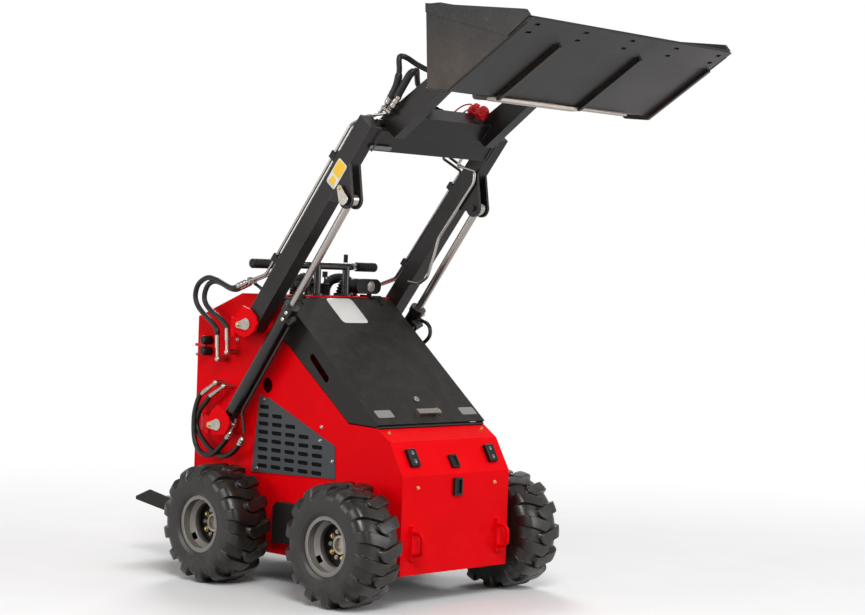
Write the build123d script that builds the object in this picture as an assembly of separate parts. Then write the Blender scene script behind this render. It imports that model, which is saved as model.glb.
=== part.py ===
from build123d import *
import math
import os

# Stand-on skid steer loader with raised lift arms.  Units are millimetres.
# X points forward, Y to the left, Z up.  The model is laid out from the middle of the
# wheelbase on the ground; every saved piece is then shifted by DATUM_X, which puts the
# origin in the middle of the overall length.

# ---------------------------------------------------------------- driving dimensions
LIP_X = 1310.0              # front edge of the bucket, arms raised
PLATFORM_TAIL_X = -1081.0   # rear edge of the operator's platform
DATUM_X = -(LIP_X + PLATFORM_TAIL_X) / 2

# wheels
WHEELBASE = 730.0
TYRE_RADIUS = 232.5         # out to the tips of the lugs
TYRE_WIDTH = 204.0
LUG_HEIGHT = 15.0
LUG_COUNT = 14              # on each half of the tread
LUG_WIDTH = 42.0
LUG_ANGLE = 23.0
LUG_OVERLAP = 10.0          # reach of a lug past the middle of the tread
BEAD_RADIUS = 101.6         # 8 inch rim
RIM_FLANGE_RADIUS = 117.0
RIM_WIDTH = 178.0
RIM_SHEET = 5.0
DISC_DEPTH = 84.0           # from the rim flange in to the wheel disc
HUB_RADIUS = 66.0
HUB_BOLTS = 5
HUB_STUD = 6.8
HUB_BOLT_CIRCLE = 50.0
RIM_WINDOWS = (40.0, 160.0, 280.0)                        # angles of the openings in the taper
AXLE_RADIUS = 24.0
MOTOR_RADIUS = 66.0

# body
BODY_HALF = 293.5           # outer face of a side plate, from the centre line
SIDE_PLATE = 6.0
PANEL = 5.0
RIM_FLANGE_Y = BODY_HALF + 236.5     # outer face of the rim flange, from the centre line
WHEEL_Y = RIM_FLANGE_Y - RIM_WIDTH / 2
MOTOR_END_Y = BODY_HALF + 58.5
REAR_X = -697.0
FRONT_X = 518.0
BELLY_Z = 120.0
DECK_Z = 1141.0             # top of the console
REAR_TOP_Z = DECK_Z - 104
DECK_REAR_X = -426.0
NOSE_TOP = (380.0, 655.0)                                 # X, Z under the hood's front edge
NOSE = ((445.0, 612.0), (518.0, 490.0))                   # X, Z down the slanted front
PORT_HOLE = (-257.0, 780.0, 30.0)                         # X, Z, radius

# hood
HOOD_TOP = ((-175.0, DECK_Z - 7), (381.0, 672.0))             # X, Z along the top face
HOOD_SKIRT = ((368.0, 663.0), (218.0, 668.0), (-129.0, 938.0), (-175.0, 974.0))
HOOD_SHEET = 4.0
HOOD_GAP = 5.0
HINGE = (HOOD_TOP[0][0] - 3, HOOD_TOP[0][1] + 4)          # X, Z of the hinge pins
HINGE_GAP = 2.0
HINGE_RADIUS = 4.0
KNUCKLE_RADIUS = 8.0
HINGE_EAR_Y = 180.0         # inner face of a hinge ear
HINGE_EAR = 12.0
HINGE_NOSE = 9.0            # reach of an ear round its pin

# grille on each side: outline and rows of slots (count of slots from the top row down)
GRILLE = ((-298.0, 739.0), (-235.0, 728.0), (149.0, 572.0), (155.0, 447.0), (-331.0, 431.0))
GRILLE_SHEET = 4.0
SLOT_ROWS = (1, 2, 3, 4, 5, 5, 5, 5)
SLOT_LENGTH = 60.0
SLOT_HEIGHT = 16.0
SLOT_PITCH_X = 79.5
SLOT_PITCH_Z = 33.5
SLOT_FIRST = (-268.0, 694.0)                              # X, Z of the top left slot

# lift arms: pivot pin, arm line and the cylinder's two pins, all as X, Z
PIVOT = (-276.0, 1022.0)
ARM_RAISE = 51.6            # angle of the raised arms above the horizontal
ARM_LENGTH = 1000.0
ARM_DEPTH = 75.0
ARM_WIDTH = 60.0
ARM_WALL = 6.0
EAR_SHEET = 10.0            # ears for the lift rod's eye
EAR_RADIUS = 36.0
ARM_GAP = 27.5              # from a side plate to the arm's inner face
ARM_OUTER = BODY_HALF + ARM_GAP + ARM_WIDTH
PIN_RADIUS = 16.0
PIN_FIT = 0.05
CYLINDER_FOOT = (-434.0, 613.0)
CYLINDER_HEAD = (251.0, 1514.0)
BARREL_RADIUS = 29.0
BARREL_LENGTH = 614.0
ROD_RADIUS = 15.0
ROD_FIT = 0.1
EYE_RADIUS = 29.0
EYE_HALF = 15.0
ROD_TAIL = 430.0            # inner end of the rod, from the foot pin
BRACKET_SHEET = 10.0
BOSS_RADIUS = 42.0
# each bracket's outer plate as X and Z from its pin, in order round the edge
PIVOT_PLATE = ((-29, 71), (18, 58), (49, 32), (60, 2), (47, -25), (18, -45), (-13, -54), (-65, -39), (-83, -7), (-60, 34))
FOOT_PLATE = ((-6, 78), (33, 57), (63, 31), (71, 8), (60, -17), (43, -38), (-31, -42), (-59, -12), (-65, 19), (-36, 55))
PIVOT_WEB = (-80.0, -215.0, -52.0, 23.0)       # front X, rear X, bottom Z and top Z, from the pin
FOOT_WEB = (-62.0, -231.0, -38.0, 30.0)
LOCK_TAIL = 48.0            # from the pin to the lock plate's bolt
WASHER = 5.0

# beam and front frame
BEAM_START = 895.0          # along the arm from its pivot
BEAM_HEIGHT = 90.0
BEAM_WALL = 6.0
FRONT_ANGLE = 30.5
HITCH_PIN = (760.0, 2045.0)
FRONT_TUBE_Y = BODY_HALF - 43.5
FRONT_TUBE_WIDTH = 50.0
MEMBER_TOP = 36.0           # top edge above the line to the hitch pin, at the beam
MEMBER_ROOT = 76.0          # bottom edge below that line, at the beam
MEMBER_NOSE = 34.0          # round end about the hitch pin
TIE_LENGTH = 82.0           # of the box over the beam, along the arms
TIE_BACK = 30.0             # its rear and front faces, across from the arms' line
TIE_FRONT = 45.0
TIE_WALL = 6.0
STUB = (343.0, 1806.0, 12.0)                              # X, Z, radius of the tube from arm to frame
TILT_FOOT = (235.0, 1893.0)
TILT_HEAD_OFFSET = (-25.0, 120.0)
TILT_BARREL_RADIUS = 27.0
TILT_BARREL_LENGTH = 385.0
TILT_ROD_RADIUS = 13.0
TILT_ROD_TAIL = 250.0
TILT_EYE_RADIUS = 21.0
TILT_EAR_Y = TILT_BARREL_RADIUS + 5

# bucket
BUCKET_HALF = RIM_FLANGE_Y + 34
BUCKET_SHEET = 8.0
BUCKET_SIDE = 10.0
BUCKET_TOP = (820.0, 2186.0)
BUCKET_HEEL = (840.0, 1888.0)
BUCKET_FLOOR = (940.0, 1880.0)
SIDE_NOSE = ((1301.0, 2101.0), (1304.0, 2112.0), (1284.0, 2135.0))    # X, Z up the front of a side plate
BUCKET_LIP = (LIP_X, 2106.0)
DOUBLER_BACK = 32.0         # down the back edge from the top corner
DOUBLER_FRONT = (1211.0, 2050.0)                          # X, Z where its lower edge ends
DOUBLER_SHEET = 4.0
WEAR_BARS = (-310.0, 135.0, BUCKET_HALF - BUCKET_SIDE - 8)  # Y of the bars under the floor
BAR_WIDTH = 14.0
BAR_HEIGHT = 16.0
BAR_START = 108.0           # from the lip back to the bars and to the edge of the lip plate
EDGE_SHEET = 4.0            # the lip plate, under the floor
EDGE_SLOTS = (-510.0, -255.0, 0.0, 255.0, 510.0)          # Y of the slots in the lip plate
EDGE_ROWS = (26.0, 72.0)                                  # from the lip back to each row

# platform and controls
PLATFORM_HALF = BODY_HALF
PLATFORM_DECK = ((REAR_X - 1, 204.0), (PLATFORM_TAIL_X, 245.0))   # X, Z along the tread
PLATFORM_SHEET = 5.0
FLANGE = ((REAR_X, 250.0), (-880.0, 274.0), (-988.0, 291.0), (PLATFORM_TAIL_X, 254.0))
TIE_DOWN_Y = BODY_HALF - 58.5
RING_REACH = 56.0
RING_RADIUS = 8.0
RING_Z = 240.0
RING_HALF = 42.0
LAMP_Y = 78.5               # from the body's side in to a lamp
LAMP_SIZE = (70.0, 44.0)
PORT_UPPER = (493.0, 531.8)                               # X, Z on the slanted front
PORT_LOWER = (408.0, 474.0)                               # Z from and to, on the front panel
HANDLE_Z = DECK_Z + 121
HANDLE_X = -320.0
HANDLE_HALF = BODY_HALF + 41.5
HANDLE_RADIUS = 15.0
HANDLE_BEND_Y = 225.0       # where the grip starts to sweep forward
POST_X = -219.0
POST_Y = 79.0
LEVER_RADIUS = 4.0
LEVER_X = -296.0
BELLOWS = (100.0, 182.0, 79.0)                            # Y from and to, height over the console
BOOT_Y = 34.0
LAMP_X = -256.0             # rear face of the work lamp
LAMP_HOUSING = (128.0, 268.0, 11.0, 73.0)                 # Y from and to, Z from and to, over the console
CAPS_Y = (-105.0, -65.0, -25.0)

# steel lines on the arms: distance along the arm, across it to the front, and Y from the centre
LINE_RADIUS = 6.0
CRIMP_RADIUS = 9.0
LINE_BEND = 34.0
# the two lines up the right arm's rear face: (along, across, Y) of each corner, over the arm's end to the elbow
REAR_LINES = (
    ((87, -133, -341), (201, -50, -341), (940, -50, -341), (984, -50, -300), (1016, -32, -300), (1059, -18, -300)),
    ((87, -133, -361), (201, -50, -361), (940, -50, -361), (996, -50, -318), (1044, 5, -300)),
)
LINE_CLAMPS = (287.0, 790.0)                              # along the arm
CLAMP_Y = (-372.0, -330.0)
CLAMP_HEIGHT = 22.0
REAR_CRIMPS = (((32, -188), (1122, -24)), ((32, -188), (1128, 12)))     # along, across of the sleeves' far ends
# the two lines up the left arm's inner face, and in behind the beam and under it
INNER_LINES = (
    ((110, -20, 314.7), (800, -20, 314.7), (822, -50, 205), (990, -50, 205)),
    ((110, 20, 314.7), (835, 20, 314.7), (850, 20, 205), (894.7, 20, 205)),
)
# hose fittings on the right side plate: X, Z, then the direction of the hose as X, Z
SIDE_FITTINGS = ((-512, 871, -0.07, 1.0), (-454, 902, -0.05, 1.0), (-520, 774, -0.86, -0.51), (-468, 763, -0.88, -0.47))
FITTING_Y = -340.0
FITTING_NECK = 45.0
FITTING_END = 98.0
KNOBS = ((-623, 946), (-621, 899))                        # X, Z of the two knobs behind them

SEAT = 0.3                  # gap between pieces that only rest against each other

os.makedirs("parts", exist_ok=True)


# ---------------------------------------------------------------- helpers
def save(name, shape):
    """Shifts a finished piece to the overall datum and writes it."""
    moved = Pos(DATUM_X, 0, 0) * shape
    solids = moved.solids()
    piece = solids[0] if len(solids) == 1 else Compound(solids)
    export_step(piece, f"parts/{name}.step")


def outline(points, radii=None):
    """Face in X and Y from corner points, with the corners rounded where radii says."""
    face = make_face(Polyline(*points, close=True))
    if radii:
        for vertex in face.vertices():
            for (x, y), radius in radii.items():
                if abs(vertex.X - x) < 0.01 and abs(vertex.Y - y) < 0.01:
                    face = fillet(vertex, radius)
    return face


def slab(face, y_low, y_high):
    """Prism of a face drawn in X and Z, from y_low to y_high."""
    plane = Plane(origin=(0, y_high, 0), x_dir=(1, 0, 0), z_dir=(0, -1, 0))
    return extrude(plane * face, y_high - y_low, dir=(0, -1, 0))


def box(x_low, x_high, y_low, y_high, z_low, z_high):
    """Box from its six faces."""
    block = Box(x_high - x_low, y_high - y_low, z_high - z_low)
    return Pos((x_low + x_high) / 2, (y_low + y_high) / 2, (z_low + z_high) / 2) * block


def rod_y(place, radius, y_low, y_high):
    """Round bar along Y at a place given as X, Z."""
    bar = Rot(90, 0, 0) * Cylinder(radius, y_high - y_low)
    return Pos(place[0], (y_low + y_high) / 2, place[1]) * bar


def rod_between(start, end, radius):
    """Round bar between two points in space."""
    axis = Vector(*end) - Vector(*start)
    return Plane(origin=start, z_dir=axis) * Pos(0, 0, axis.length / 2) * Cylinder(radius, axis.length)


def turned(place, angle, shape):
    """Carries a shape drawn along X to a place given as X, Z, raised by an angle."""
    return Pos(place[0], 0, place[1]) * Rot(0, -angle, 0) * shape


def angle_of(start, end):
    """Angle above the horizontal of a line in X and Z, in degrees."""
    return math.degrees(math.atan2(end[1] - start[1], end[0] - start[0]))


def along(place, angle, forward, across=0.0):
    """Point at a distance along a slanted line, and across it to its front side."""
    c = math.cos(math.radians(angle))
    s = math.sin(math.radians(angle))
    return (place[0] + forward * c + across * s, place[1] + forward * s - across * c)


def hose(points, radius, bend=None):
    """Hose or bent tube along straight runs joined by arcs, as large as the runs and the bend allow."""
    vectors = [Vector(*point) for point in points]
    radii = []
    for before, corner, after in zip(vectors, vectors[1:], vectors[2:]):
        turn = (corner - before).get_angle(after - corner)
        shorter = min((corner - before).length, (after - corner).length)
        largest = 0.45 * shorter / math.tan(math.radians(turn / 2))
        radii.append(min(largest, bend) if bend else largest)
    path = FilletPolyline(*points, radius=radii)
    start = Plane(origin=path @ 0, z_dir=path % 0)
    return sweep(start * Circle(radius), path=path)


def mirrored(shape):
    """The same piece on the other side of the centre line."""
    return mirror(shape, about=Plane.XZ)


def both_sides(name, shape):
    """Saves a right-hand piece and its mirror image."""
    save(f"{name}_right", shape)
    save(f"{name}_left", mirrored(shape))


# ---------------------------------------------------------------- wheels
def tyre():
    """Carcass with bar lugs, in chevrons, about the Y axis, bead to bead."""
    half = TYRE_WIDTH / 2
    crown = TYRE_RADIUS - LUG_HEIGHT
    bead_half = RIM_WIDTH / 2
    seat = bead_half - RIM_SHEET
    outer = [(BEAD_RADIUS, seat), (RIM_FLANGE_RADIUS + 4, seat), (RIM_FLANGE_RADIUS + 8, bead_half + 3),
             (150, half), (180, half - 1), (200, half - 10), (crown - 4, half - 30), (crown, half - 62)]
    inner = [(crown - 14, half - 64), (194, half - 26), (176, half - 16), (150, half - 15),
             (RIM_FLANGE_RADIUS + 4, bead_half - 18), (BEAD_RADIUS, bead_half - 22)]
    loop = outer + [(r, -y) for r, y in reversed(outer)]
    loop += [(r, -y) for r, y in reversed(inner)] + inner
    carcass = revolve(make_face(Polyline(*loop, close=True)), Axis.Y)
    root = 172.0
    tread = [(root, half - 4), (185, half - 1), (210, half - 5), (226, half - 18), (TYRE_RADIUS, half - 42)]
    tread += [(r, -y) for r, y in reversed(tread)]
    band = revolve(make_face(Polyline(*tread, close=True)), Axis.Y)
    lugs = []
    step = 360 / LUG_COUNT
    for side in (1, -1):
        lug = Pos((TYRE_RADIUS + root) / 2 + 4, side * half / 2, 0) * Rot(side * LUG_ANGLE, 0, 0)
        lug *= Box(TYRE_RADIUS - root, half + 2 * LUG_OVERLAP, LUG_WIDTH)
        for index in range(LUG_COUNT):
            lugs.append(Rot(0, index * step + (0 if side > 0 else step / 2), 0) * lug)
    ring = Rot(90, 0, 0) * Cylinder(root, TYRE_WIDTH * 1.5)
    return carcass + ((band & Compound(lugs)) - ring)


def rim():
    """Deep dish rim sheet with its disc, flange towards +Y at zero."""
    s = RIM_SHEET
    flange = RIM_FLANGE_RADIUS
    bead = BEAD_RADIUS
    well = bead - 16
    back = -RIM_WIDTH
    bore = AXLE_RADIUS + 12
    outside = [(flange, 0), (flange, -s), (bead, -s), (bead, -30), (well, -44), (well, back + 52),
               (bead, back + 34), (bead, back + s), (flange, back + s), (flange, back)]
    inside = [(bead - s, back), (bead - s, back + 34 - s), (well - s, back + 52 - s),
              (well - s, -DISC_DEPTH - s - 3), (bore, -DISC_DEPTH - s - 3), (bore, -DISC_DEPTH + 3 - s),
              (well - s, -DISC_DEPTH), (well - s, -44 - s / 2), (bead - s, -30 - s / 2), (bead - s, 0)]
    shell = revolve(make_face(Polyline(*(outside + inside), close=True)), Axis.Y)
    hole = Pos(HUB_BOLT_CIRCLE, -DISC_DEPTH - 5, 0) * Rot(90, 0, 0) * Cylinder(HUB_STUD + 0.2, 40)
    cuts = [Rot(0, index * 360 / HUB_BOLTS, 0) * hole for index in range(HUB_BOLTS)]
    window = Pos((bead + well) / 2 - 4, -37, 0) * Box(28, 13, 30)
    cuts += [Rot(0, turn, 0) * window for turn in RIM_WINDOWS]
    return shell - Compound(cuts)


def hub():
    """Hub flange behind the disc with studs and nuts, and the shaft into its motor."""
    face = -DISC_DEPTH - RIM_SHEET - 3
    body = rod_y((0, 0), HUB_RADIUS, face - 12, face)
    body += rod_y((0, 0), AXLE_RADIUS + 11.5, face, face + 22)
    body -= rod_y((0, 0), AXLE_RADIUS + 2, face + 8, face + 23)
    body += rod_y((0, 0), AXLE_RADIUS, MOTOR_END_Y - RIM_FLANGE_Y - 40, face - 12)
    nut_base = face + RIM_SHEET + 3 + SEAT
    nut = Pos(HUB_BOLT_CIRCLE, nut_base + 6, 0) * Rot(90, 0, 0) * extrude(RegularPolygon(10, 6), 6, both=True)
    nut += rod_y((HUB_BOLT_CIRCLE, 0), HUB_STUD, face, nut_base + 16)
    for index in range(HUB_BOLTS):
        body += Rot(0, index * 360 / HUB_BOLTS, 0) * nut
    return body


def wheels():
    """Four wheels: one tyre, rim and hub placed in a loop."""
    tyre_shape = tyre()
    rim_shape = rim()
    hub_shape = hub()
    for end, x in (("front", WHEELBASE / 2), ("rear", -WHEELBASE / 2)):
        for side, turn in (("right", 180), ("left", 0)):
            sign = -1 if side == "right" else 1
            name = f"{end}_{side}"
            centre = Pos(x, sign * WHEEL_Y, TYRE_RADIUS)
            flange = Pos(x, sign * RIM_FLANGE_Y, TYRE_RADIUS)
            save(f"tyre_{name}", centre * tyre_shape)
            save(f"rim_{name}", flange * Rot(0, 0, turn) * rim_shape)
            save(f"hub_{name}", flange * Rot(0, 0, turn) * hub_shape)


# ---------------------------------------------------------------- body
def side_plate():
    """Right side plate: slanted nose, step for the hood skirt, grille window, port hole."""
    rim_line = [(x, z - HOOD_GAP) for x, z in HOOD_SKIRT]
    step = (HOOD_TOP[0][0] - HOOD_GAP, HOOD_SKIRT[-1][1] - HOOD_GAP)
    points = [(REAR_X, BELLY_Z), (REAR_X, REAR_TOP_Z), (DECK_REAR_X, DECK_Z), (step[0], DECK_Z), step]
    points += list(reversed(rim_line))[1:] + [NOSE_TOP, NOSE[0], NOSE[1], (FRONT_X, BELLY_Z)]
    plate = slab(outline(points), -BODY_HALF, -BODY_HALF + SIDE_PLATE)
    window = offset(outline(GRILLE), -22)
    plate -= slab(window, -BODY_HALF - 1, -BODY_HALF + SIDE_PLATE + 1)
    hole = rod_y(PORT_HOLE[:2], PORT_HOLE[2], -BODY_HALF - 1, -BODY_HALF + SIDE_PLATE + 1)
    bores = [rod_y((x, TYRE_RADIUS), MOTOR_RADIUS, -BODY_HALF - 1, -BODY_HALF + SIDE_PLATE + 1)
             for x in (-WHEELBASE / 2, WHEELBASE / 2)]
    return plate - hole - bores[0] - bores[1]


def bent_sheet(points, thickness, y_low, y_high, side=Side.LEFT):
    """Sheet of constant thickness along a bent line in X and Z."""
    wire = Polyline(*points)
    return slab(make_face(offset(wire, thickness, side=side)), y_low, y_high)


def front_panel():
    """Folded front between the side plates, with two openings for hydraulic ports."""
    inner = BODY_HALF - SIDE_PLATE
    line = [NOSE_TOP, NOSE[0], NOSE[1], (FRONT_X, BELLY_Z)]
    return bent_sheet(line, PANEL, -inner, inner, Side.RIGHT)


def body():
    """Everything of sheet steel that makes the closed body."""
    inner = BODY_HALF - SIDE_PLATE
    both_sides("side_plate", side_plate())
    save("front_panel", front_panel())
    rear = [(REAR_X, BELLY_Z), (REAR_X, REAR_TOP_Z - PANEL - SEAT)]
    save("rear_panel", bent_sheet(rear, PANEL, -inner, inner, Side.RIGHT))
    deck = [(REAR_X, REAR_TOP_Z), (DECK_REAR_X, DECK_Z), (HINGE[0] - KNUCKLE_RADIUS - HINGE_GAP, DECK_Z)]
    save("console_panel", bent_sheet(deck, PANEL, -inner, inner, Side.RIGHT))
    save("floor_plate", box(REAR_X + PANEL, FRONT_X - PANEL, -inner, inner, BELLY_Z, BELLY_Z + SIDE_PLATE))


def grille():
    """Right grille plate with rows of round-ended slots."""
    plate = slab(outline(GRILLE), -BODY_HALF - GRILLE_SHEET, -BODY_HALF)
    slots = []
    for row, count in enumerate(SLOT_ROWS):
        for column in range(count):
            x = SLOT_FIRST[0] + column * SLOT_PITCH_X
            z = SLOT_FIRST[1] - row * SLOT_PITCH_Z
            slots.append(Pos(x, z) * SlotOverall(SLOT_LENGTH, SLOT_HEIGHT))
    cut = slab(Sketch() + slots, -BODY_HALF - GRILLE_SHEET - 1, -BODY_HALF + 1)
    return plate - cut


def drive_cover():
    """Cover over the drive between the wheels, with sloped ends."""
    cover = box(-170, 170, -BODY_HALF - 28, -BODY_HALF, 170, 330)
    return chamfer(cover.edges().filter_by(Axis.Y).group_by(Axis.Z)[-1], 20)


def motors():
    """Four wheel motors, through the side plates."""
    solids = []
    for x in (-WHEELBASE / 2, WHEELBASE / 2):
        motor = rod_y((x, TYRE_RADIUS), MOTOR_RADIUS, -MOTOR_END_Y, -BODY_HALF + 90)
        motor -= rod_y((x, TYRE_RADIUS), AXLE_RADIUS + PIN_FIT, -MOTOR_END_Y - 1, -MOTOR_END_Y + 60)
        solids += [motor, mirrored(motor)]
    save("wheel_motors", Compound(solids))


# ---------------------------------------------------------------- hood
def hood():
    """Hood sheet: sloped top face and two side skirts that lie flush with the sides."""
    shape = slab(outline(list(HOOD_TOP) + list(HOOD_SKIRT)), -BODY_HALF, BODY_HALF)
    drop = 30 * HOOD_SHEET
    c = math.cos(math.radians(angle_of(*HOOD_TOP)))
    under = [(HOOD_TOP[0][0] - 50, HOOD_TOP[0][1] + 50 * math.tan(math.radians(-angle_of(*HOOD_TOP))) - HOOD_SHEET / c),
             (HOOD_TOP[1][0] - HOOD_SHEET, HOOD_TOP[1][1] - HOOD_SHEET / c + HOOD_SHEET * 0.83),
             (HOOD_TOP[1][0] - HOOD_SHEET, HOOD_TOP[1][1] - drop), (HOOD_TOP[0][0] - 50, HOOD_TOP[1][1] - drop)]
    shape -= slab(outline(under), -BODY_HALF + HOOD_SHEET, BODY_HALF - HOOD_SHEET)
    slot_angle = angle_of((-8, 914), (95, 817))
    slot = Pos((-8 + 95) / 2, (914 + 817) / 2) * Rot(0, 0, slot_angle) * SlotOverall(141, 30)
    shape -= slab(slot, -BODY_HALF - 1, -BODY_HALF + HOOD_SHEET + 1)
    shape -= slab(slot, BODY_HALF - HOOD_SHEET - 1, BODY_HALF + 1)
    for sign in (1, -1):
        low = min(sign * 200, sign * 240)
        knuckle = rod_y(HINGE, KNUCKLE_RADIUS, low, low + 40)
        lean = angle_of(*HOOD_TOP)
        leaf = slab(outline([along(HOOD_TOP[0], lean, t, depth) for t, depth in ((0, 0), (45, 0), (45, 10), (0, 10))]),
                    low, low + 40)
        knuckle += leaf
        shape += knuckle
    for sign in (1, -1):
        low, high = sorted((sign * (HINGE_EAR_Y - HINGE_GAP), sign * (HINGE_EAR_Y + HINGE_EAR + HINGE_GAP)))
        shape -= rod_y(HINGE, HINGE_NOSE + HINGE_GAP, low, high)
    shape -= rod_y(HINGE, HINGE_RADIUS + PIN_FIT, -BODY_HALF, BODY_HALF)
    return shape


def hood_set():
    """Hood, its latch and the hinge pins on the deck."""
    save("hood", hood())
    angle = angle_of(*HOOD_TOP)
    place = along(HOOD_TOP[0], angle, 675, 0)
    grip = Pos(0, 0, 16) * Box(24, 120, 6) + Pos(0, 52, 7) * Box(20, 12, 14) + Pos(0, -52, 7) * Box(20, 12, 14)
    save("hood_latch", Pos(place[0], 0, place[1]) * Rot(0, -angle, 0) * grip)
    pieces = []
    for sign in (1, -1):
        inner = BODY_HALF - SIDE_PLATE
        low, high = sorted((sign * HINGE_EAR_Y, sign * (HINGE_EAR_Y + 70)))
        pin = rod_y(HINGE, HINGE_RADIUS, low, high)
        ear_low, ear_high = sorted((sign * HINGE_EAR_Y, sign * (HINGE_EAR_Y + HINGE_EAR)))
        ear = slab(outline([(HINGE[0] - 60, DECK_Z), (HINGE[0] - 60, DECK_Z + 8), (HINGE[0], HINGE[1] + 9),
                            (HINGE[0] + 7, HINGE[1]), (HINGE[0], HINGE[1] - 7), (HINGE[0] - 7, DECK_Z)]), ear_low, ear_high)
        pieces.append(pin + ear)
    save("hood_hinges", Compound(pieces))


# ---------------------------------------------------------------- lift arms
def boss_bracket(place, plate_edge, web):
    """Right bracket that holds a pin: boss on the side plate, plate outside, sloped web behind."""
    x, z = place
    outer_low = -ARM_OUTER - WASHER - BRACKET_SHEET
    outer_high = -ARM_OUTER - WASHER
    plate = slab(outline([(x + dx, z + dz) for dx, dz in plate_edge]), outer_low, outer_high)
    front, rear, bottom, top = web
    plan = [(x + front - 12, outer_low), (x + front + 8, outer_low), (x + front + 8, outer_high),
            (x + front - 6, outer_high), (x + rear + 22, -BODY_HALF), (x + rear, -BODY_HALF)]
    bracket = plate + Pos(0, 0, z + bottom) * extrude(outline(plan), top - bottom)
    bracket += rod_y(place, BOSS_RADIUS, -ARM_OUTER + ARM_WIDTH + WASHER, -BODY_HALF)
    return bracket - rod_y(place, PIN_RADIUS, outer_low - 1, -BODY_HALF + 1)


def pin_set():
    """Pins through the brackets, each with its lock plate outside."""
    pieces = []
    head = -ARM_OUTER - WASHER - BRACKET_SHEET
    for x, z in (PIVOT, CYLINDER_FOOT):
        pin = rod_y((x, z), PIN_RADIUS, head, -BODY_HALF)
        pin += rod_y((x, z), PIN_RADIUS + 7, head - 6, head)
        tail = (x - LOCK_TAIL, z - 5)
        pin += rod_y(tail, 12, head - 6, head)
        pin += slab(outline([(x, z + 23), (tail[0], tail[1] + 12), (tail[0], tail[1] - 12), (x, z - 23)]), head - 6, head)
        pieces += [pin, mirrored(pin)]
    save("bracket_pins", Compound(pieces))


def arm():
    """Right arm: rectangular tube, closed round its pivot, with two ears for the rod's eye."""
    half = ARM_DEPTH / 2
    y_low = -ARM_OUTER
    y_high = -ARM_OUTER + ARM_WIDTH
    tube = slab(outline([(0, -half), (ARM_LENGTH, -half), (ARM_LENGTH, half), (0, half)]), y_low, y_high)
    tube += rod_y((0, 0), half, y_low, y_high)
    wall = ARM_WALL
    hollow = slab(outline([(90, -half + wall), (ARM_LENGTH - wall, -half + wall),
                           (ARM_LENGTH - wall, half - wall), (90, half - wall)]), y_low + wall, y_high - wall)
    tube -= hollow
    tube -= rod_y((0, 0), PIN_RADIUS + PIN_FIT, y_low - 1, y_high + 1)
    angle = math.radians(angle_of(PIVOT, CYLINDER_HEAD) - ARM_RAISE)
    reach = math.dist(PIVOT, CYLINDER_HEAD)
    a = reach * math.cos(angle)
    n = reach * math.sin(angle)
    middle = (y_low + y_high) / 2
    edge = outline([(a - 63, -half), (a + 114, -half), (a + 27, n - 23), (a - 30, n + 17)])
    for low in (middle - EYE_HALF - 14, middle + EYE_HALF + 4):
        tube += slab(edge, low, low + EAR_SHEET)
        tube += rod_y((a, n), EAR_RADIUS, low, low + EAR_SHEET)
    stub = PIN_RADIUS - 3
    tube += rod_y((a, n), stub, middle - EYE_HALF - 24, middle - EYE_HALF - 3)
    tube += rod_y((a, n), stub, middle + EYE_HALF + 3, middle + EYE_HALF + 24)
    return turned(PIVOT, ARM_RAISE, tube)


def link_plates():
    """Bright plates that keep the rod's pins from turning, outside the arms' ears."""
    face = -ARM_OUTER + ARM_WIDTH / 2 - EYE_HALF - 24
    x, z = CYLINDER_HEAD
    tip = (x - 21, z + 40)
    plate = rod_y(CYLINDER_HEAD, 23, face - 5, face)
    plate += rod_y(tip, 13, face - 5, face)
    plate += slab(outline([(x - 21, z - 9), (x + 21, z + 9), (tip[0] + 12, tip[1] + 5), (tip[0] - 12, tip[1] - 5)]), face - 5, face)
    both_sides("link_plate", plate)


def lift_cylinder():
    """Right cylinder: barrel with its foot eye, and the rod with its head eye."""
    middle = -ARM_OUTER + ARM_WIDTH / 2
    angle = angle_of(CYLINDER_FOOT, CYLINDER_HEAD)
    reach = math.dist(CYLINDER_FOOT, CYLINDER_HEAD)
    barrel = Pos(BARREL_LENGTH / 2 + 10, middle, 0) * Rot(0, 90, 0) * Cylinder(BARREL_RADIUS, BARREL_LENGTH - 20)
    barrel += rod_y((0, 0), EYE_RADIUS, middle - EYE_HALF - 6, middle + EYE_HALF + 6)
    barrel += Pos(BARREL_LENGTH - 12, middle, 0) * Rot(0, 90, 0) * Cylinder(BARREL_RADIUS + 4, 24)
    cut_low = 36
    bore = Pos((cut_low + BARREL_LENGTH + 1) / 2, middle, 0) * Rot(0, 90, 0) * Cylinder(ROD_RADIUS + ROD_FIT, BARREL_LENGTH + 1 - cut_low)
    barrel -= bore
    barrel -= rod_y((0, 0), PIN_RADIUS + PIN_FIT, middle - 60, middle + 60)
    rod = Pos((ROD_TAIL + reach) / 2, middle, 0) * Rot(0, 90, 0) * Cylinder(ROD_RADIUS, reach - ROD_TAIL)
    rod += rod_y((reach, 0), EYE_RADIUS, middle - EYE_HALF, middle + EYE_HALF)
    rod -= rod_y((reach, 0), PIN_RADIUS - 2, middle - 60, middle + 60)
    return turned(CYLINDER_FOOT, angle, barrel), turned(CYLINDER_FOOT, angle, rod)


def crossbeam():
    """Box beam that ties the two arms together."""
    half = ARM_DEPTH / 2
    inner = ARM_OUTER - ARM_WIDTH
    end = BEAM_START + BEAM_HEIGHT
    beam = slab(outline([(BEAM_START, -half), (end, -half), (end, half), (BEAM_START, half)]), -inner, inner)
    w = BEAM_WALL
    beam -= slab(outline([(BEAM_START + w, -half + w), (end - w, -half + w), (end - w, half - w), (BEAM_START + w, half - w)]),
                 -inner - 1, inner + 1)
    return turned(PIVOT, ARM_RAISE, beam)


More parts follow.
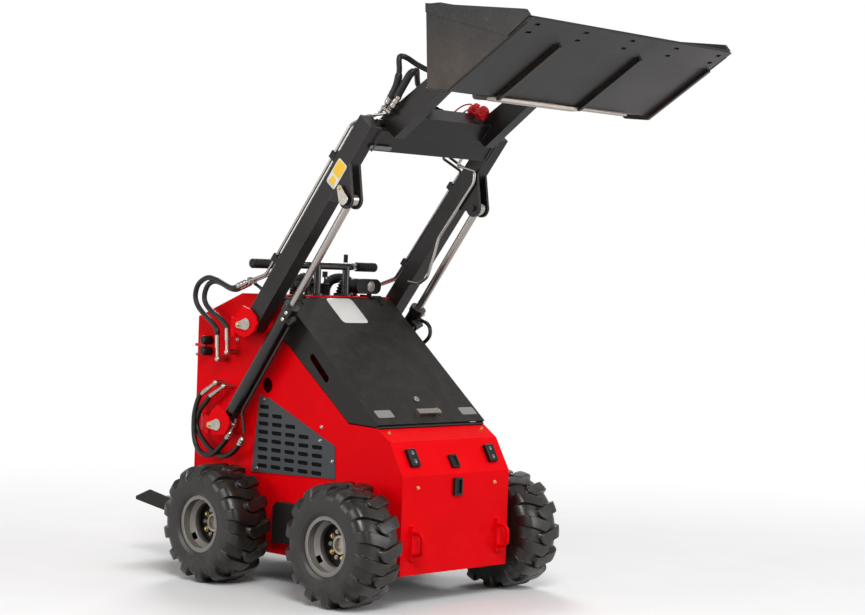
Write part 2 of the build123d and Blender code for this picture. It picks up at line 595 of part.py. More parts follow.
def front_frame():
    """Two tapered members from a box over the beam to the hitch pins, and the tilt cylinder's ears."""
    start = along(PIVOT, ARM_RAISE, BEAM_START + BEAM_HEIGHT / 2)
    reach = math.dist(start, HITCH_PIN)
    line_start = along(HITCH_PIN, FRONT_ANGLE, -reach)
    frame = None
    edge = outline([(0, -MEMBER_ROOT), (reach, -MEMBER_NOSE), (reach, MEMBER_NOSE), (0, MEMBER_TOP)])
    for sign in (1, -1):
        low = sign * FRONT_TUBE_Y - FRONT_TUBE_WIDTH / 2
        high = low + FRONT_TUBE_WIDTH
        member = slab(edge, low, high) + rod_y((reach, 0), MEMBER_NOSE, low, high)
        member -= rod_y((reach, 0), PIN_RADIUS + PIN_FIT, low - 1, high + 1)
        frame = member if frame is None else frame + member
    frame = turned(line_start, FRONT_ANGLE, frame)
    low = BEAM_START + BEAM_HEIGHT
    high = low + TIE_LENGTH
    wall = TIE_WALL
    side = FRONT_TUBE_Y + FRONT_TUBE_WIDTH / 2
    tie = slab(outline([(low, -TIE_FRONT), (high, -TIE_FRONT), (high, TIE_BACK), (low, TIE_BACK)]), -side, side)
    tie -= slab(outline([(low + wall, -TIE_FRONT + wall), (high - wall, -TIE_FRONT + wall),
                         (high - wall, TIE_BACK - wall), (low + wall, TIE_BACK - wall)]), -side + wall, side - wall)
    frame += turned(PIVOT, ARM_RAISE, tie)
    for sign in (1, -1):
        inner, outer = sorted((sign * (side - 5), sign * (ARM_OUTER - ARM_WIDTH - SEAT)))
        frame += rod_y(STUB[:2], STUB[2], inner, outer)
    foot = TILT_FOOT
    root = [along(PIVOT, ARM_RAISE, low + t, -TIE_BACK + 2) for t in (2, TIE_LENGTH - 2)]
    for ear_low in (-TILT_EAR_Y - 12, TILT_EAR_Y):
        lean = angle_of(foot, root[1])
        ear = slab(outline([root[0], root[1], along(foot, lean, 0, -28), along(foot, lean, 0, 28)]), ear_low, ear_low + 12)
        frame += ear + rod_y(foot, 28, ear_low, ear_low + 12)
    frame += rod_y(foot, PIN_RADIUS - 2, -TILT_EAR_Y - 15, TILT_EAR_Y + 15)
    return frame - beam_space()


def on_arm(place_along, place_across, y):
    """Point in space at a distance along an arm, across it to the front, and at Y."""
    x, z = along(PIVOT, ARM_RAISE, place_along, place_across)
    return (x, y, z)


def arm_lines():
    """Steel oil lines on the arms; the right pair has the hoses' sleeves crimped on."""
    right = []
    for corners, (low, high) in zip(REAR_LINES, REAR_CRIMPS):
        points = [on_arm(*corner) for corner in corners]
        line = hose(points, LINE_RADIUS, LINE_BEND)
        line += rod_between(on_arm(*low, corners[0][2]), points[0], CRIMP_RADIUS)
        line += rod_between(points[-1], on_arm(*high, corners[-1][2]), CRIMP_RADIUS)
        right.append(line)
    pair = right[0] + right[1]
    rear_face = ARM_DEPTH / 2
    for place in LINE_CLAMPS:
        clamp = box(place - 15, place + 15, CLAMP_Y[0], CLAMP_Y[1], rear_face + SEAT, rear_face + CLAMP_HEIGHT)
        pair += turned(PIVOT, ARM_RAISE, clamp)
    save("arm_lines_right", pair)
    left = [hose([on_arm(*corner) for corner in corners], LINE_RADIUS, LINE_BEND) for corners in INNER_LINES]
    save("arm_lines_left", Compound(left))


def side_fittings():
    """Elbows of the oil hoses on the right side plate, each with its sleeve, and two knobs."""
    pieces = []
    for x, z, dx, dz in SIDE_FITTINGS:
        corner = (x, FITTING_Y, z)
        neck = (x + dx * FITTING_NECK, FITTING_Y, z + dz * FITTING_NECK)
        end = (x + dx * FITTING_END, FITTING_Y, z + dz * FITTING_END)
        elbow = rod_y((x, z), 12, FITTING_Y, -BODY_HALF) + rod_between(corner, neck, 8)
        pieces.append(elbow + Pos(*corner) * Sphere(12) + rod_between(neck, end, CRIMP_RADIUS + 1))
    for place in KNOBS:
        pieces.append(rod_y(place, 9, -BODY_HALF - 16, -BODY_HALF) + rod_y(place, 15, -BODY_HALF - 30, -BODY_HALF - 16))
    save("side_fittings", Compound(pieces))


def beam_space():
    """The room that the beam takes, which what is welded to it must leave free."""
    half = ARM_DEPTH / 2
    inner = ARM_OUTER - ARM_WIDTH
    end = BEAM_START + BEAM_HEIGHT
    block = slab(outline([(BEAM_START - 60, -half - 200), (end, -half - 200), (end, half), (BEAM_START - 60, half)]), -inner, inner)
    return turned(PIVOT, ARM_RAISE, block)


TILT_HEAD = (HITCH_PIN[0] + TILT_HEAD_OFFSET[0], HITCH_PIN[1] + TILT_HEAD_OFFSET[1])


def tilt_cylinder():
    """Cylinder on the centre line that tilts the bucket."""
    angle = angle_of(TILT_FOOT, TILT_HEAD)
    reach = math.dist(TILT_FOOT, TILT_HEAD)
    half = TILT_EYE_RADIUS
    barrel = Pos(TILT_BARREL_LENGTH / 2 + 17, 0, 0) * Rot(0, 90, 0) * Cylinder(TILT_BARREL_RADIUS, TILT_BARREL_LENGTH - 34)
    barrel += Pos(20, 0, 0) * Box(40, 30, 36)
    barrel += rod_y((0, 0), TILT_EYE_RADIUS + 4, -half, half)
    low = 45
    barrel -= Pos((low + TILT_BARREL_LENGTH + 1) / 2, 0, 0) * Rot(0, 90, 0) * Cylinder(TILT_ROD_RADIUS + ROD_FIT, TILT_BARREL_LENGTH + 1 - low)
    barrel -= rod_y((0, 0), PIN_RADIUS - 2 + PIN_FIT, -60, 60)
    rod = Pos((TILT_ROD_TAIL + reach) / 2, 0, 0) * Rot(0, 90, 0) * Cylinder(TILT_ROD_RADIUS, reach - TILT_ROD_TAIL)
    rod += rod_y((reach, 0), TILT_EYE_RADIUS, -15, 15)
    rod -= rod_y((reach, 0), PIN_RADIUS - 4, -60, 60)
    return turned(TILT_FOOT, angle, barrel), turned(TILT_FOOT, angle, rod)


# ---------------------------------------------------------------- bucket
def bucket_shell():
    """Back, heel and floor of the bucket in one bent sheet, with its lip plate and wear bars."""
    inner = BUCKET_HALF - BUCKET_SIDE
    line = [BUCKET_TOP, BUCKET_HEEL, BUCKET_FLOOR, BUCKET_LIP]
    sheet = bent_sheet(line, BUCKET_SHEET, -inner, inner, Side.LEFT)
    sheet += box(BUCKET_TOP[0], BUCKET_TOP[0] + 60, -inner, inner, BUCKET_TOP[1] - 10, BUCKET_TOP[1])
    lean = angle_of(BUCKET_FLOOR, BUCKET_LIP)
    edge_start = along(BUCKET_LIP, lean, -BAR_START)
    sheet += bent_sheet([edge_start, BUCKET_LIP], EDGE_SHEET, -BUCKET_HALF, BUCKET_HALF, Side.RIGHT)
    back = along(BUCKET_HEEL, angle_of(BUCKET_HEEL, BUCKET_TOP), 8)
    for y in WEAR_BARS:
        low = y - BAR_WIDTH / 2
        sheet += bent_sheet([back, BUCKET_HEEL, BUCKET_FLOOR, edge_start], BAR_HEIGHT, low, low + BAR_WIDTH, Side.RIGHT)
    slots = []
    for back_off in EDGE_ROWS:
        x, z = along(BUCKET_LIP, lean, -back_off)
        for y in EDGE_SLOTS:
            slots.append(Pos(x, y, z) * Rot(0, -lean, 0) * Box(12, 26, 60))
    return sheet - Compound(slots)


def bucket_sides():
    """The two side plates, cut back from the lip, each with a doubler along its top edge."""
    points = [BUCKET_TOP, BUCKET_HEEL, BUCKET_FLOOR] + list(SIDE_NOSE)
    side = slab(outline(points), -BUCKET_HALF, -BUCKET_HALF + BUCKET_SIDE)
    doubler = [BUCKET_TOP, along(BUCKET_TOP, angle_of(BUCKET_TOP, BUCKET_HEEL), DOUBLER_BACK), DOUBLER_FRONT] + list(SIDE_NOSE)[1:]
    return side + slab(outline(doubler), -BUCKET_HALF - DOUBLER_SHEET, -BUCKET_HALF)


def hitch_plate():
    """Plate on the bucket's back with the ears for the hitch pins and the tilt rod."""
    back_angle = math.radians(angle_of(BUCKET_HEEL, BUCKET_TOP))

    def back_x(z):
        return BUCKET_HEEL[0] + (z - BUCKET_HEEL[1]) / math.tan(back_angle)

    low, high = 1900.0, 2172.0
    thick = 14.0
    plate = slab(outline([(back_x(low) - thick, low), (back_x(low), low), (back_x(high), high), (back_x(high) - thick, high)]),
                 -330, 330)
    for sign in (1, -1):
        for edge in (FRONT_TUBE_WIDTH / 2 + WASHER, -FRONT_TUBE_WIDTH / 2 - WASHER - 10):
            y = sign * FRONT_TUBE_Y + edge
            x, z = HITCH_PIN
            ear = slab(outline([(back_x(z - 70) - 5, z - 70), (back_x(z + 60) - 5, z + 60), (x, z + 34), (x - 20, z), (x, z - 34)]), y, y + 10)
            ear += rod_y(HITCH_PIN, 34, y, y + 10)
            plate += ear
        low_y = sign * FRONT_TUBE_Y - FRONT_TUBE_WIDTH / 2 - WASHER - 14
        high_y = sign * FRONT_TUBE_Y + FRONT_TUBE_WIDTH / 2 + WASHER + 14
        plate += rod_y(HITCH_PIN, PIN_RADIUS, low_y, high_y)
    head = TILT_HEAD
    for y in (-15 - 4 - 10, 15 + 4):
        ear = slab(outline([(back_x(head[1] - 70) - 5, head[1] - 70), (back_x(high) - 5, high), (head[0], head[1] + 22), (head[0], head[1] - 22)]), y, y + 10)
        ear += rod_y(head, 22, y, y + 10)
        plate += ear
    return plate


# ---------------------------------------------------------------- platform and controls
def platform():
    """Operator's platform: tread plate with side flanges whose rear corners are cut off."""
    t = PLATFORM_SHEET
    half = PLATFORM_HALF
    under = [(x, z - t) for x, z in PLATFORM_DECK]
    flange = slab(outline([(REAR_X, PLATFORM_DECK[0][1] - 3 * t)] + list(FLANGE) + [under[1]]), -half, -half + t)
    deck = slab(outline(list(PLATFORM_DECK) + under[::-1]), -half + t, half - t)
    return deck + flange + mirrored(flange)


def handlebar():
    """Swept bar with a grip at each end, on two posts from the console."""
    half = HANDLE_HALF
    z = HANDLE_Z
    corners = [(HANDLE_X, -half, z), (HANDLE_X, -HANDLE_BEND_Y, z), (POST_X, -POST_Y - 30, z),
               (POST_X, POST_Y + 30, z), (HANDLE_X, HANDLE_BEND_Y, z), (HANDLE_X, half, z)]
    bar = hose(corners, HANDLE_RADIUS, 60)
    for y in (-POST_Y, POST_Y):
        bar += rod_between((POST_X, y, DECK_Z), (POST_X, y, z), HANDLE_RADIUS)
        bar += rod_between((POST_X, y, DECK_Z), (POST_X, y, DECK_Z + 8), HANDLE_RADIUS + 12)
    return bar


def levers():
    """Two control levers: a ribbed bellows with a long lever, and a coiled boot with a short one."""
    z = DECK_Z
    long_y = (BELLOWS[0] + BELLOWS[1]) / 2
    half = (BELLOWS[1] - BELLOWS[0]) / 2
    profile = [(0, 0), (half, 0), (half, 10)]
    for rank, radius in enumerate((0.80, 0.72, 0.62, 0.50, 0.36)):
        low = 10 + rank * 13.0
        profile += [(half * (radius - 0.12), low + 3), (half * radius, low + 10)]
    profile += [(LEVER_RADIUS + 2, BELLOWS[2]), (0, BELLOWS[2])]
    bellows = Pos(LEVER_X, long_y, z) * revolve(Plane.XZ * make_face(Polyline(*profile, close=True)), Axis.Z)
    top = (LEVER_X + 6, long_y, HANDLE_Z - 15)
    long_lever = bellows + rod_between((LEVER_X, long_y, z + 40), top, LEVER_RADIUS)
    long_lever += rod_between(top, (LEVER_X + 8, long_y, HANDLE_Z + 50), 9)
    coil = [(0, 0), (22, 0)]
    for rank in range(5):
        low = rank * 10.0
        coil += [(20, low + 3), (20, low + 7), (16, low + 10)]
    coil += [(0, 50)]
    boot = Pos(LEVER_X, BOOT_Y, z) * revolve(Plane.XZ * make_face(Polyline(*coil, close=True)), Axis.Z)
    short_lever = boot + rod_between((LEVER_X, BOOT_Y, z + 40), (LEVER_X, BOOT_Y, z + 92), LEVER_RADIUS)
    return Compound([long_lever, short_lever + rod_between((LEVER_X, BOOT_Y, z + 74), (LEVER_X, BOOT_Y, z + 98), 11)])


def console_caps():
    """Round caps and switches to the right of the levers."""
    pieces = []
    for y in CAPS_Y:
        cap = rod_between((LEVER_X, y, DECK_Z), (LEVER_X, y, DECK_Z + 36), 9)
        pieces.append(cap + rod_between((LEVER_X, y, DECK_Z + 36), (LEVER_X, y, DECK_Z + 52), 17))
    return Compound(pieces)


def work_lamp():
    """Oval work lamp on the console, facing forward, with a recess for its round lens."""
    y_low, y_high, z_low, z_high = LAMP_HOUSING
    middle = ((y_low + y_high) / 2, DECK_Z + (z_low + z_high) / 2)
    face = Plane(origin=(LAMP_X, middle[0], middle[1]), x_dir=(0, 1, 0), z_dir=(1, 0, 0))
    lamp = extrude(face * SlotOverall(y_high - y_low, z_high - z_low), 52)
    lens = (LAMP_X + 46, middle[0] + 16, middle[1])
    lamp -= rod_between(lens, (LAMP_X + 53, lens[1], lens[2]), 24)
    foot = middle[0] + 27
    return lamp + rod_between((LAMP_X + 26, foot, DECK_Z), (LAMP_X + 26, foot, middle[1]), 10)


def inside():
    """Engine as a plain block, bolted to the floor."""
    block = box(-330, 130, -190, 190, BELLY_Z + SIDE_PLATE, 560)
    save("engine_block", block)


def tie_down(sign):
    """Ring welded to the front panel."""
    y = sign * TIE_DOWN_Y
    foot = 12.0
    base = box(FRONT_X, FRONT_X + foot, y - foot, y + foot, RING_Z - 65, RING_Z + 65)
    ring = hose([(FRONT_X + foot - 2, y, RING_Z + RING_HALF), (FRONT_X + RING_REACH, y, RING_Z + RING_HALF - 6),
                 (FRONT_X + RING_REACH, y, RING_Z - RING_HALF + 6), (FRONT_X + foot - 2, y, RING_Z - RING_HALF)],
                RING_RADIUS)
    return base + ring


def lamps():
    """Two lamp housings on the slanted nose, each with two round lenses let in."""
    angle = angle_of(*NOSE)
    place = ((NOSE[0][0] + NOSE[1][0]) / 2, (NOSE[0][1] + NOSE[1][1]) / 2)
    pieces = []
    for y in (LAMP_Y - BODY_HALF, BODY_HALF - LAMP_Y):
        housing = Pos(0, 0, 10) * Box(*LAMP_SIZE, 20)
        housing = chamfer(housing.edges().group_by(Axis.Z)[-1], 3)
        for step in (-LAMP_SIZE[0] / 4, LAMP_SIZE[0] / 4):
            housing -= Pos(step, 0, 19) * Cylinder(11, 4)
        pieces.append(Pos(place[0], y, place[1]) * Rot(0, -angle, 0) * housing)
    return Compound(pieces)


def front_ports():
    """Two black port blocks with sockets for an attachment's hoses, on the front panel."""
    angle = angle_of(*NOSE)
    pieces = []
    upper = Pos(PORT_UPPER[0], 0, PORT_UPPER[1]) * Rot(0, -angle, 0)
    block = Pos(0, 0, 6) * Box(52, 40, 12)
    pieces.append(upper * (block - Pos(0, 0, 10) * Box(36, 26, 6)))
    x = FRONT_X
    low, high = PORT_LOWER
    frame = box(x, x + 12, -22, 22, low, high) - box(x + 4, x + 13, -15, 15, low + 8, high - 8)
    pieces.append(frame)
    return Compound(pieces)


# ---------------------------------------------------------------- build
wheels()
body()
both_sides("grille", grille())
both_sides("drive_cover", drive_cover())
motors()
hood_set()
both_sides("pivot_bracket", boss_bracket(PIVOT, PIVOT_PLATE, PIVOT_WEB))
both_sides("cylinder_bracket", boss_bracket(CYLINDER_FOOT, FOOT_PLATE, FOOT_WEB))
pin_set()
both_sides("arm", arm())
link_plates()
arm_lines()
side_fittings()
barrel_shape, rod_shape = lift_cylinder()
both_sides("lift_barrel", barrel_shape)
both_sides("lift_rod", rod_shape)
save("crossbeam", crossbeam())
save("front_frame", front_frame())
tilt_barrel_shape, tilt_rod_shape = tilt_cylinder()
save("tilt_barrel", tilt_barrel_shape)
save("tilt_rod", tilt_rod_shape)
save("bucket_shell", bucket_shell())
both_sides("bucket_side", bucket_sides())
save("hitch_plate", hitch_plate())
save("platform", platform())
save("handlebar", handlebar())
save("control_levers", levers())
save("console_caps", console_caps())
save("work_lamp", work_lamp())
save("front_ports", front_ports())
inside()
save("tie_down_right", tie_down(-1))
save("tie_down_left", tie_down(1))
save("front_lamps", lamps())
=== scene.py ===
# %% [markdown]
# This lesson dresses a small stand-on skid steer loader with its lift arms raised.
# Its sheet steel, tubes, pins and wheels are loaded as finished solids, which stay where
# they are. What is added here is what a maker sees close up: paint and rubber, tyre
# treads, bolts, weld beads, hose ends and small trim.

import bpy
import numpy as np
from mathutils import Matrix, Vector


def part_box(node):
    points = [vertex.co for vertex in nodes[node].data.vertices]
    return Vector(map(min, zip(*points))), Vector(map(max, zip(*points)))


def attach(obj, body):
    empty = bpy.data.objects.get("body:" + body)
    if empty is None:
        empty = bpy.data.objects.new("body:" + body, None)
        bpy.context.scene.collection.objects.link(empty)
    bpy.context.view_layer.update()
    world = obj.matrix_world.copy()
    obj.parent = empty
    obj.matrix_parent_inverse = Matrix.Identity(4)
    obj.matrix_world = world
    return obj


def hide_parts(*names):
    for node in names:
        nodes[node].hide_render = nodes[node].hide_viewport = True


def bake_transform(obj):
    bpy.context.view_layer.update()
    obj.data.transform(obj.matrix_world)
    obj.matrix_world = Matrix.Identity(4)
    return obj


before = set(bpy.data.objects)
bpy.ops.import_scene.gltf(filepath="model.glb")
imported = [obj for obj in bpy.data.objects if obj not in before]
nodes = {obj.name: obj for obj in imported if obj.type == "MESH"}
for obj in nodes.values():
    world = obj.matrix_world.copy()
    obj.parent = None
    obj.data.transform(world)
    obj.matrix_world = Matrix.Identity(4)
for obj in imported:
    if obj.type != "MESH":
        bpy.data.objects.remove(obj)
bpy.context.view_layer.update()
print("solids loaded:", len(nodes))

# %% [markdown]
# The camera stands about eight metres off the machine's front right corner at the height
# of its console, with a long lens, so that upright edges stay upright. Its three axes are
# written as the columns of a rotation: to the right, up, and back towards the viewer.

# %% Camera
CAMERA_PLACE = (5.5122, -5.4443, 1.2566)
CAMERA_RIGHT = (0.7176, 0.6956, 0.0346)
CAMERA_UP = (-0.0378, -0.0107, 0.9992)
CAMERA_BACK = (0.69541, -0.71838, 0.01867)
SENSOR_MM = 36.0
LENS_MM = 81.78
camera_data = bpy.data.cameras.new("camera")
camera_data.sensor_width = SENSOR_MM
camera_data.lens = LENS_MM
camera = bpy.data.objects.new("camera", camera_data)
bpy.context.scene.collection.objects.link(camera)
turn = Matrix((CAMERA_RIGHT, CAMERA_UP, CAMERA_BACK)).transposed().normalized()
camera.matrix_world = Matrix.Translation(CAMERA_PLACE) @ turn.to_4x4()
bpy.context.scene.camera = camera
bpy.context.scene.view_settings.view_transform = "Standard"
print("camera placed", CAMERA_PLACE)

# %% [markdown]
# A shader is a tree of small steps, and these helpers write such a tree in few lines. One
# turns a colour as a painter reads it, 0 to 255, into the linear numbers that a renderer
# adds up. The others add a step and join its inputs, blend two colours, and start a group.

# %% Shader helpers
def paint(red, green, blue):
    """Linear colour of a screen colour: ((c + 0.055) / 1.055) to the power 2.4 for each part."""
    part = np.array((red, green, blue)) / 255.0
    linear = np.where(part > 0.04045, ((part + 0.055) / 1.055) ** 2.4, part / 12.92)
    return (*(float(value) for value in linear), 1.0)


def step(tree, kind, inputs=None, **settings):
    """One shader node, with its settings, and its inputs set to numbers or joined to sockets."""
    made = tree.nodes.new("ShaderNode" + kind)
    for setting, value in settings.items():
        setattr(made, setting, value)
    for socket, value in (inputs or {}).items():
        if isinstance(value, bpy.types.NodeSocket):
            tree.links.new(value, made.inputs[socket])
        else:
            made.inputs[socket].default_value = value
    return made


def mix_colour(tree, factor, first, second):
    """Colour between two colours: first (1 - f) + second f."""
    return step(tree, "Mix", {0: factor, 6: first, 7: second}, data_type="RGBA").outputs[2]


def new_group(name, inputs, outputs):
    """Empty node group with named inputs and outputs, and its two end nodes."""
    group = bpy.data.node_groups.new(name, "ShaderNodeTree")
    for label, kind, value in inputs:
        socket = group.interface.new_socket(label, in_out="INPUT", socket_type="NodeSocket" + kind)
        socket.default_value = value
    for label, kind in outputs:
        group.interface.new_socket(label, in_out="OUTPUT", socket_type="NodeSocket" + kind)
    return group, group.nodes.new("NodeGroupInput"), group.nodes.new("NodeGroupOutput")


print("middle grey is", round(paint(188, 188, 188)[0], 3), "in linear light")

# %% [markdown]
# Sheet steel is never knife sharp: paint rounds its edges and thins on them. The Bevel node
# gives a normal that bends round an edge, and the angle between it and the flat face's own
# normal tells how near the edge is. The group below hands out both, with a fine grain such
# as powder coating has, so every painted part can share it.

# %% Group for soft edges and grain
edge_group, start, end = new_group(
    "soft_edges",
    (("Radius", "Float", 0.002), ("Grain scale", "Float", 900.0), ("Grain depth", "Float", 0.0001),
     ("Wave scale", "Float", 6.0), ("Wave depth", "Float", 0.0)),
    (("Normal", "Vector"), ("Edge", "Float")))
place = step(edge_group, "TexCoord")
bevel = step(edge_group, "Bevel", {"Radius": start.outputs["Radius"]}, samples=4)
geometry = step(edge_group, "NewGeometry")
same = step(edge_group, "VectorMath", {0: bevel.outputs[0], 1: geometry.outputs["Normal"]},
            operation="DOT_PRODUCT")
near_edge = step(edge_group, "MapRange", {"Value": same.outputs["Value"], "From Min": 0.995,
                                          "From Max": 0.86})
grain = step(edge_group, "TexNoise", {"Vector": place.outputs["Object"],
                                      "Scale": start.outputs["Grain scale"], "Detail": 2.0})
wave = step(edge_group, "TexNoise", {"Vector": place.outputs["Object"],
                                     "Scale": start.outputs["Wave scale"], "Detail": 1.0})
waved = step(edge_group, "Bump", {"Height": wave.outputs["Fac"], "Strength": 1.0,
                                  "Distance": start.outputs["Wave depth"],
                                  "Normal": bevel.outputs[0]})
bumped = step(edge_group, "Bump", {"Height": grain.outputs["Fac"], "Strength": 1.0,
                                   "Distance": start.outputs["Grain depth"],
                                   "Normal": waved.outputs[0]})
edge_group.links.new(bumped.outputs[0], end.inputs["Normal"])
edge_group.links.new(near_edge.outputs[0], end.inputs["Edge"])
print("group made:", edge_group.name)

# %% [markdown]
# Two more things show on every surface of a machine that stands in a yard: soft clouds
# where the finish is a little lighter or duller, and dust that settles on what faces up and
# low down near the wheels. The second group gives both as plain masks from 0 to 1.

# %% Group for clouds, dust and fine scratches
wear_group, start, end = new_group(
    "clouds_and_dust",
    (("Cloud scale", "Float", 5.0), ("Dust height", "Float", 0.5), ("Scratch scale", "Float", 40.0)),
    (("Cloud", "Float"), ("Dust", "Float"), ("Scratch", "Float")))
place = step(wear_group, "TexCoord")
cloud = step(wear_group, "TexNoise", {"Vector": place.outputs["Object"],
                                      "Scale": start.outputs["Cloud scale"], "Detail": 5.0,
                                      "Roughness": 0.62})
clear_cloud = step(wear_group, "MapRange", {"Value": cloud.outputs["Fac"], "From Min": 0.3,
                                            "From Max": 0.7})
geometry = step(wear_group, "NewGeometry")
facing = step(wear_group, "SeparateXYZ", {0: geometry.outputs["Normal"]})
level = step(wear_group, "SeparateXYZ", {0: place.outputs["Object"]})
upward = step(wear_group, "MapRange", {"Value": facing.outputs[2], "From Min": 0.35, "From Max": 1.0})
low_down = step(wear_group, "MapRange", {"Value": level.outputs[2],
                                         "From Min": start.outputs["Dust height"], "From Max": 0.0})
either = step(wear_group, "Math", {0: upward.outputs[0], 1: low_down.outputs[0]}, operation="MAXIMUM")
patches = step(wear_group, "TexNoise", {"Vector": place.outputs["Object"], "Scale": 23.0,
                                        "Detail": 8.0, "Roughness": 0.7})
patchy = step(wear_group, "MapRange", {"Value": patches.outputs["Fac"], "From Min": 0.42,
                                       "From Max": 0.66})
dusty = step(wear_group, "Math", {0: either.outputs[0], 1: patchy.outputs[0]}, operation="MULTIPLY")
stretch = step(wear_group, "Mapping", {"Vector": place.outputs["Object"], "Scale": (1.0, 9.0, 1.4),
                                       "Rotation": (0.3, 0.5, 0.2)})
scratches = step(wear_group, "TexVoronoi", {"Vector": stretch.outputs[0],
                                            "Scale": start.outputs["Scratch scale"]},
                 feature="DISTANCE_TO_EDGE")
thin = step(wear_group, "MapRange", {"Value": scratches.outputs["Distance"], "From Min": 0.02,
                                     "From Max": 0.0})
broken = step(wear_group, "Math", {0: thin.outputs[0], 1: patchy.outputs[0]}, operation="MULTIPLY")
for label, socket in (("Cloud", clear_cloud.outputs[0]), ("Dust", dusty.outputs[0]),
                      ("Scratch", broken.outputs[0])):
    wear_group.links.new(socket, end.inputs[label])
print("group made:", wear_group.name)

# %% [markdown]
# Every finish on the machine is the same recipe with other values: a base colour that clouds make lighter or
# darker, a worn colour along edges, which on the arms is partly a painted highlight, dust on top, and a
# roughness that wanders a little. So one function builds the material and a table holds the finishes.

# %% The finish recipe
DUST = paint(150, 138, 122)
COAT_ROUGHNESS = 0.12


def finish_material(name, colour, rough, metal=0.0, coat=0.0, tone=0.12, cloud=5.0, edge=None,
                    edge_share=0.5, dust=0.1, dust_height=0.45, radius=0.002, grain=900.0,
                    depth=0.0001, wave=6.0, wave_depth=0.0, spread=0.08, scratch=0.0, spec=0.5):
    """Painted, plated or rubber finish: base colour, clouds, worn edges (on the arms partly a painted
    highlight), dust and grain.
    """
    made = bpy.data.materials.new(name)
    made.use_nodes = True
    tree = made.node_tree
    shader = tree.nodes["Principled BSDF"]
    soft = step(tree, "Group", node_tree=edge_group)
    for label, value in (("Radius", radius), ("Grain scale", grain), ("Grain depth", depth),
                         ("Wave scale", wave), ("Wave depth", wave_depth)):
        soft.inputs[label].default_value = value
    wear = step(tree, "Group", node_tree=wear_group)
    wear.inputs["Cloud scale"].default_value = cloud
    wear.inputs["Dust height"].default_value = dust_height
    dark = tuple(channel * (1 - tone) for channel in colour[:3]) + (1.0,)
    light = tuple(min(1.0, channel * (1 + tone) + 0.004 * tone) for channel in colour[:3]) + (1.0,)
    base = mix_colour(tree, wear.outputs["Cloud"], dark, light)
    if edge:
        share = step(tree, "Math", {0: soft.outputs["Edge"], 1: edge_share}, operation="MULTIPLY")
        base = mix_colour(tree, share.outputs[0], base, edge)
    if scratch:
        share = step(tree, "Math", {0: wear.outputs["Scratch"], 1: scratch}, operation="MULTIPLY")
        base = mix_colour(tree, share.outputs[0], base, light if metal else DUST)
    if dust:
        share = step(tree, "Math", {0: wear.outputs["Dust"], 1: dust}, operation="MULTIPLY")
        base = mix_colour(tree, share.outputs[0], base, DUST)
    tree.links.new(base, shader.inputs["Base Color"])
    roughness = step(tree, "MapRange", {"Value": wear.outputs["Cloud"], "To Min": rough - spread,
                                        "To Max": rough + spread})
    tree.links.new(roughness.outputs[0], shader.inputs["Roughness"])
    tree.links.new(soft.outputs["Normal"], shader.inputs["Normal"])
    shader.inputs["Metallic"].default_value = metal
    shader.inputs["Coat Weight"].default_value = coat
    shader.inputs["Coat Roughness"].default_value = COAT_ROUGHNESS
    shader.inputs["Specular IOR Level"].default_value = spec
    return made


print("dust settles in the colour", [round(part, 3) for part in DUST])

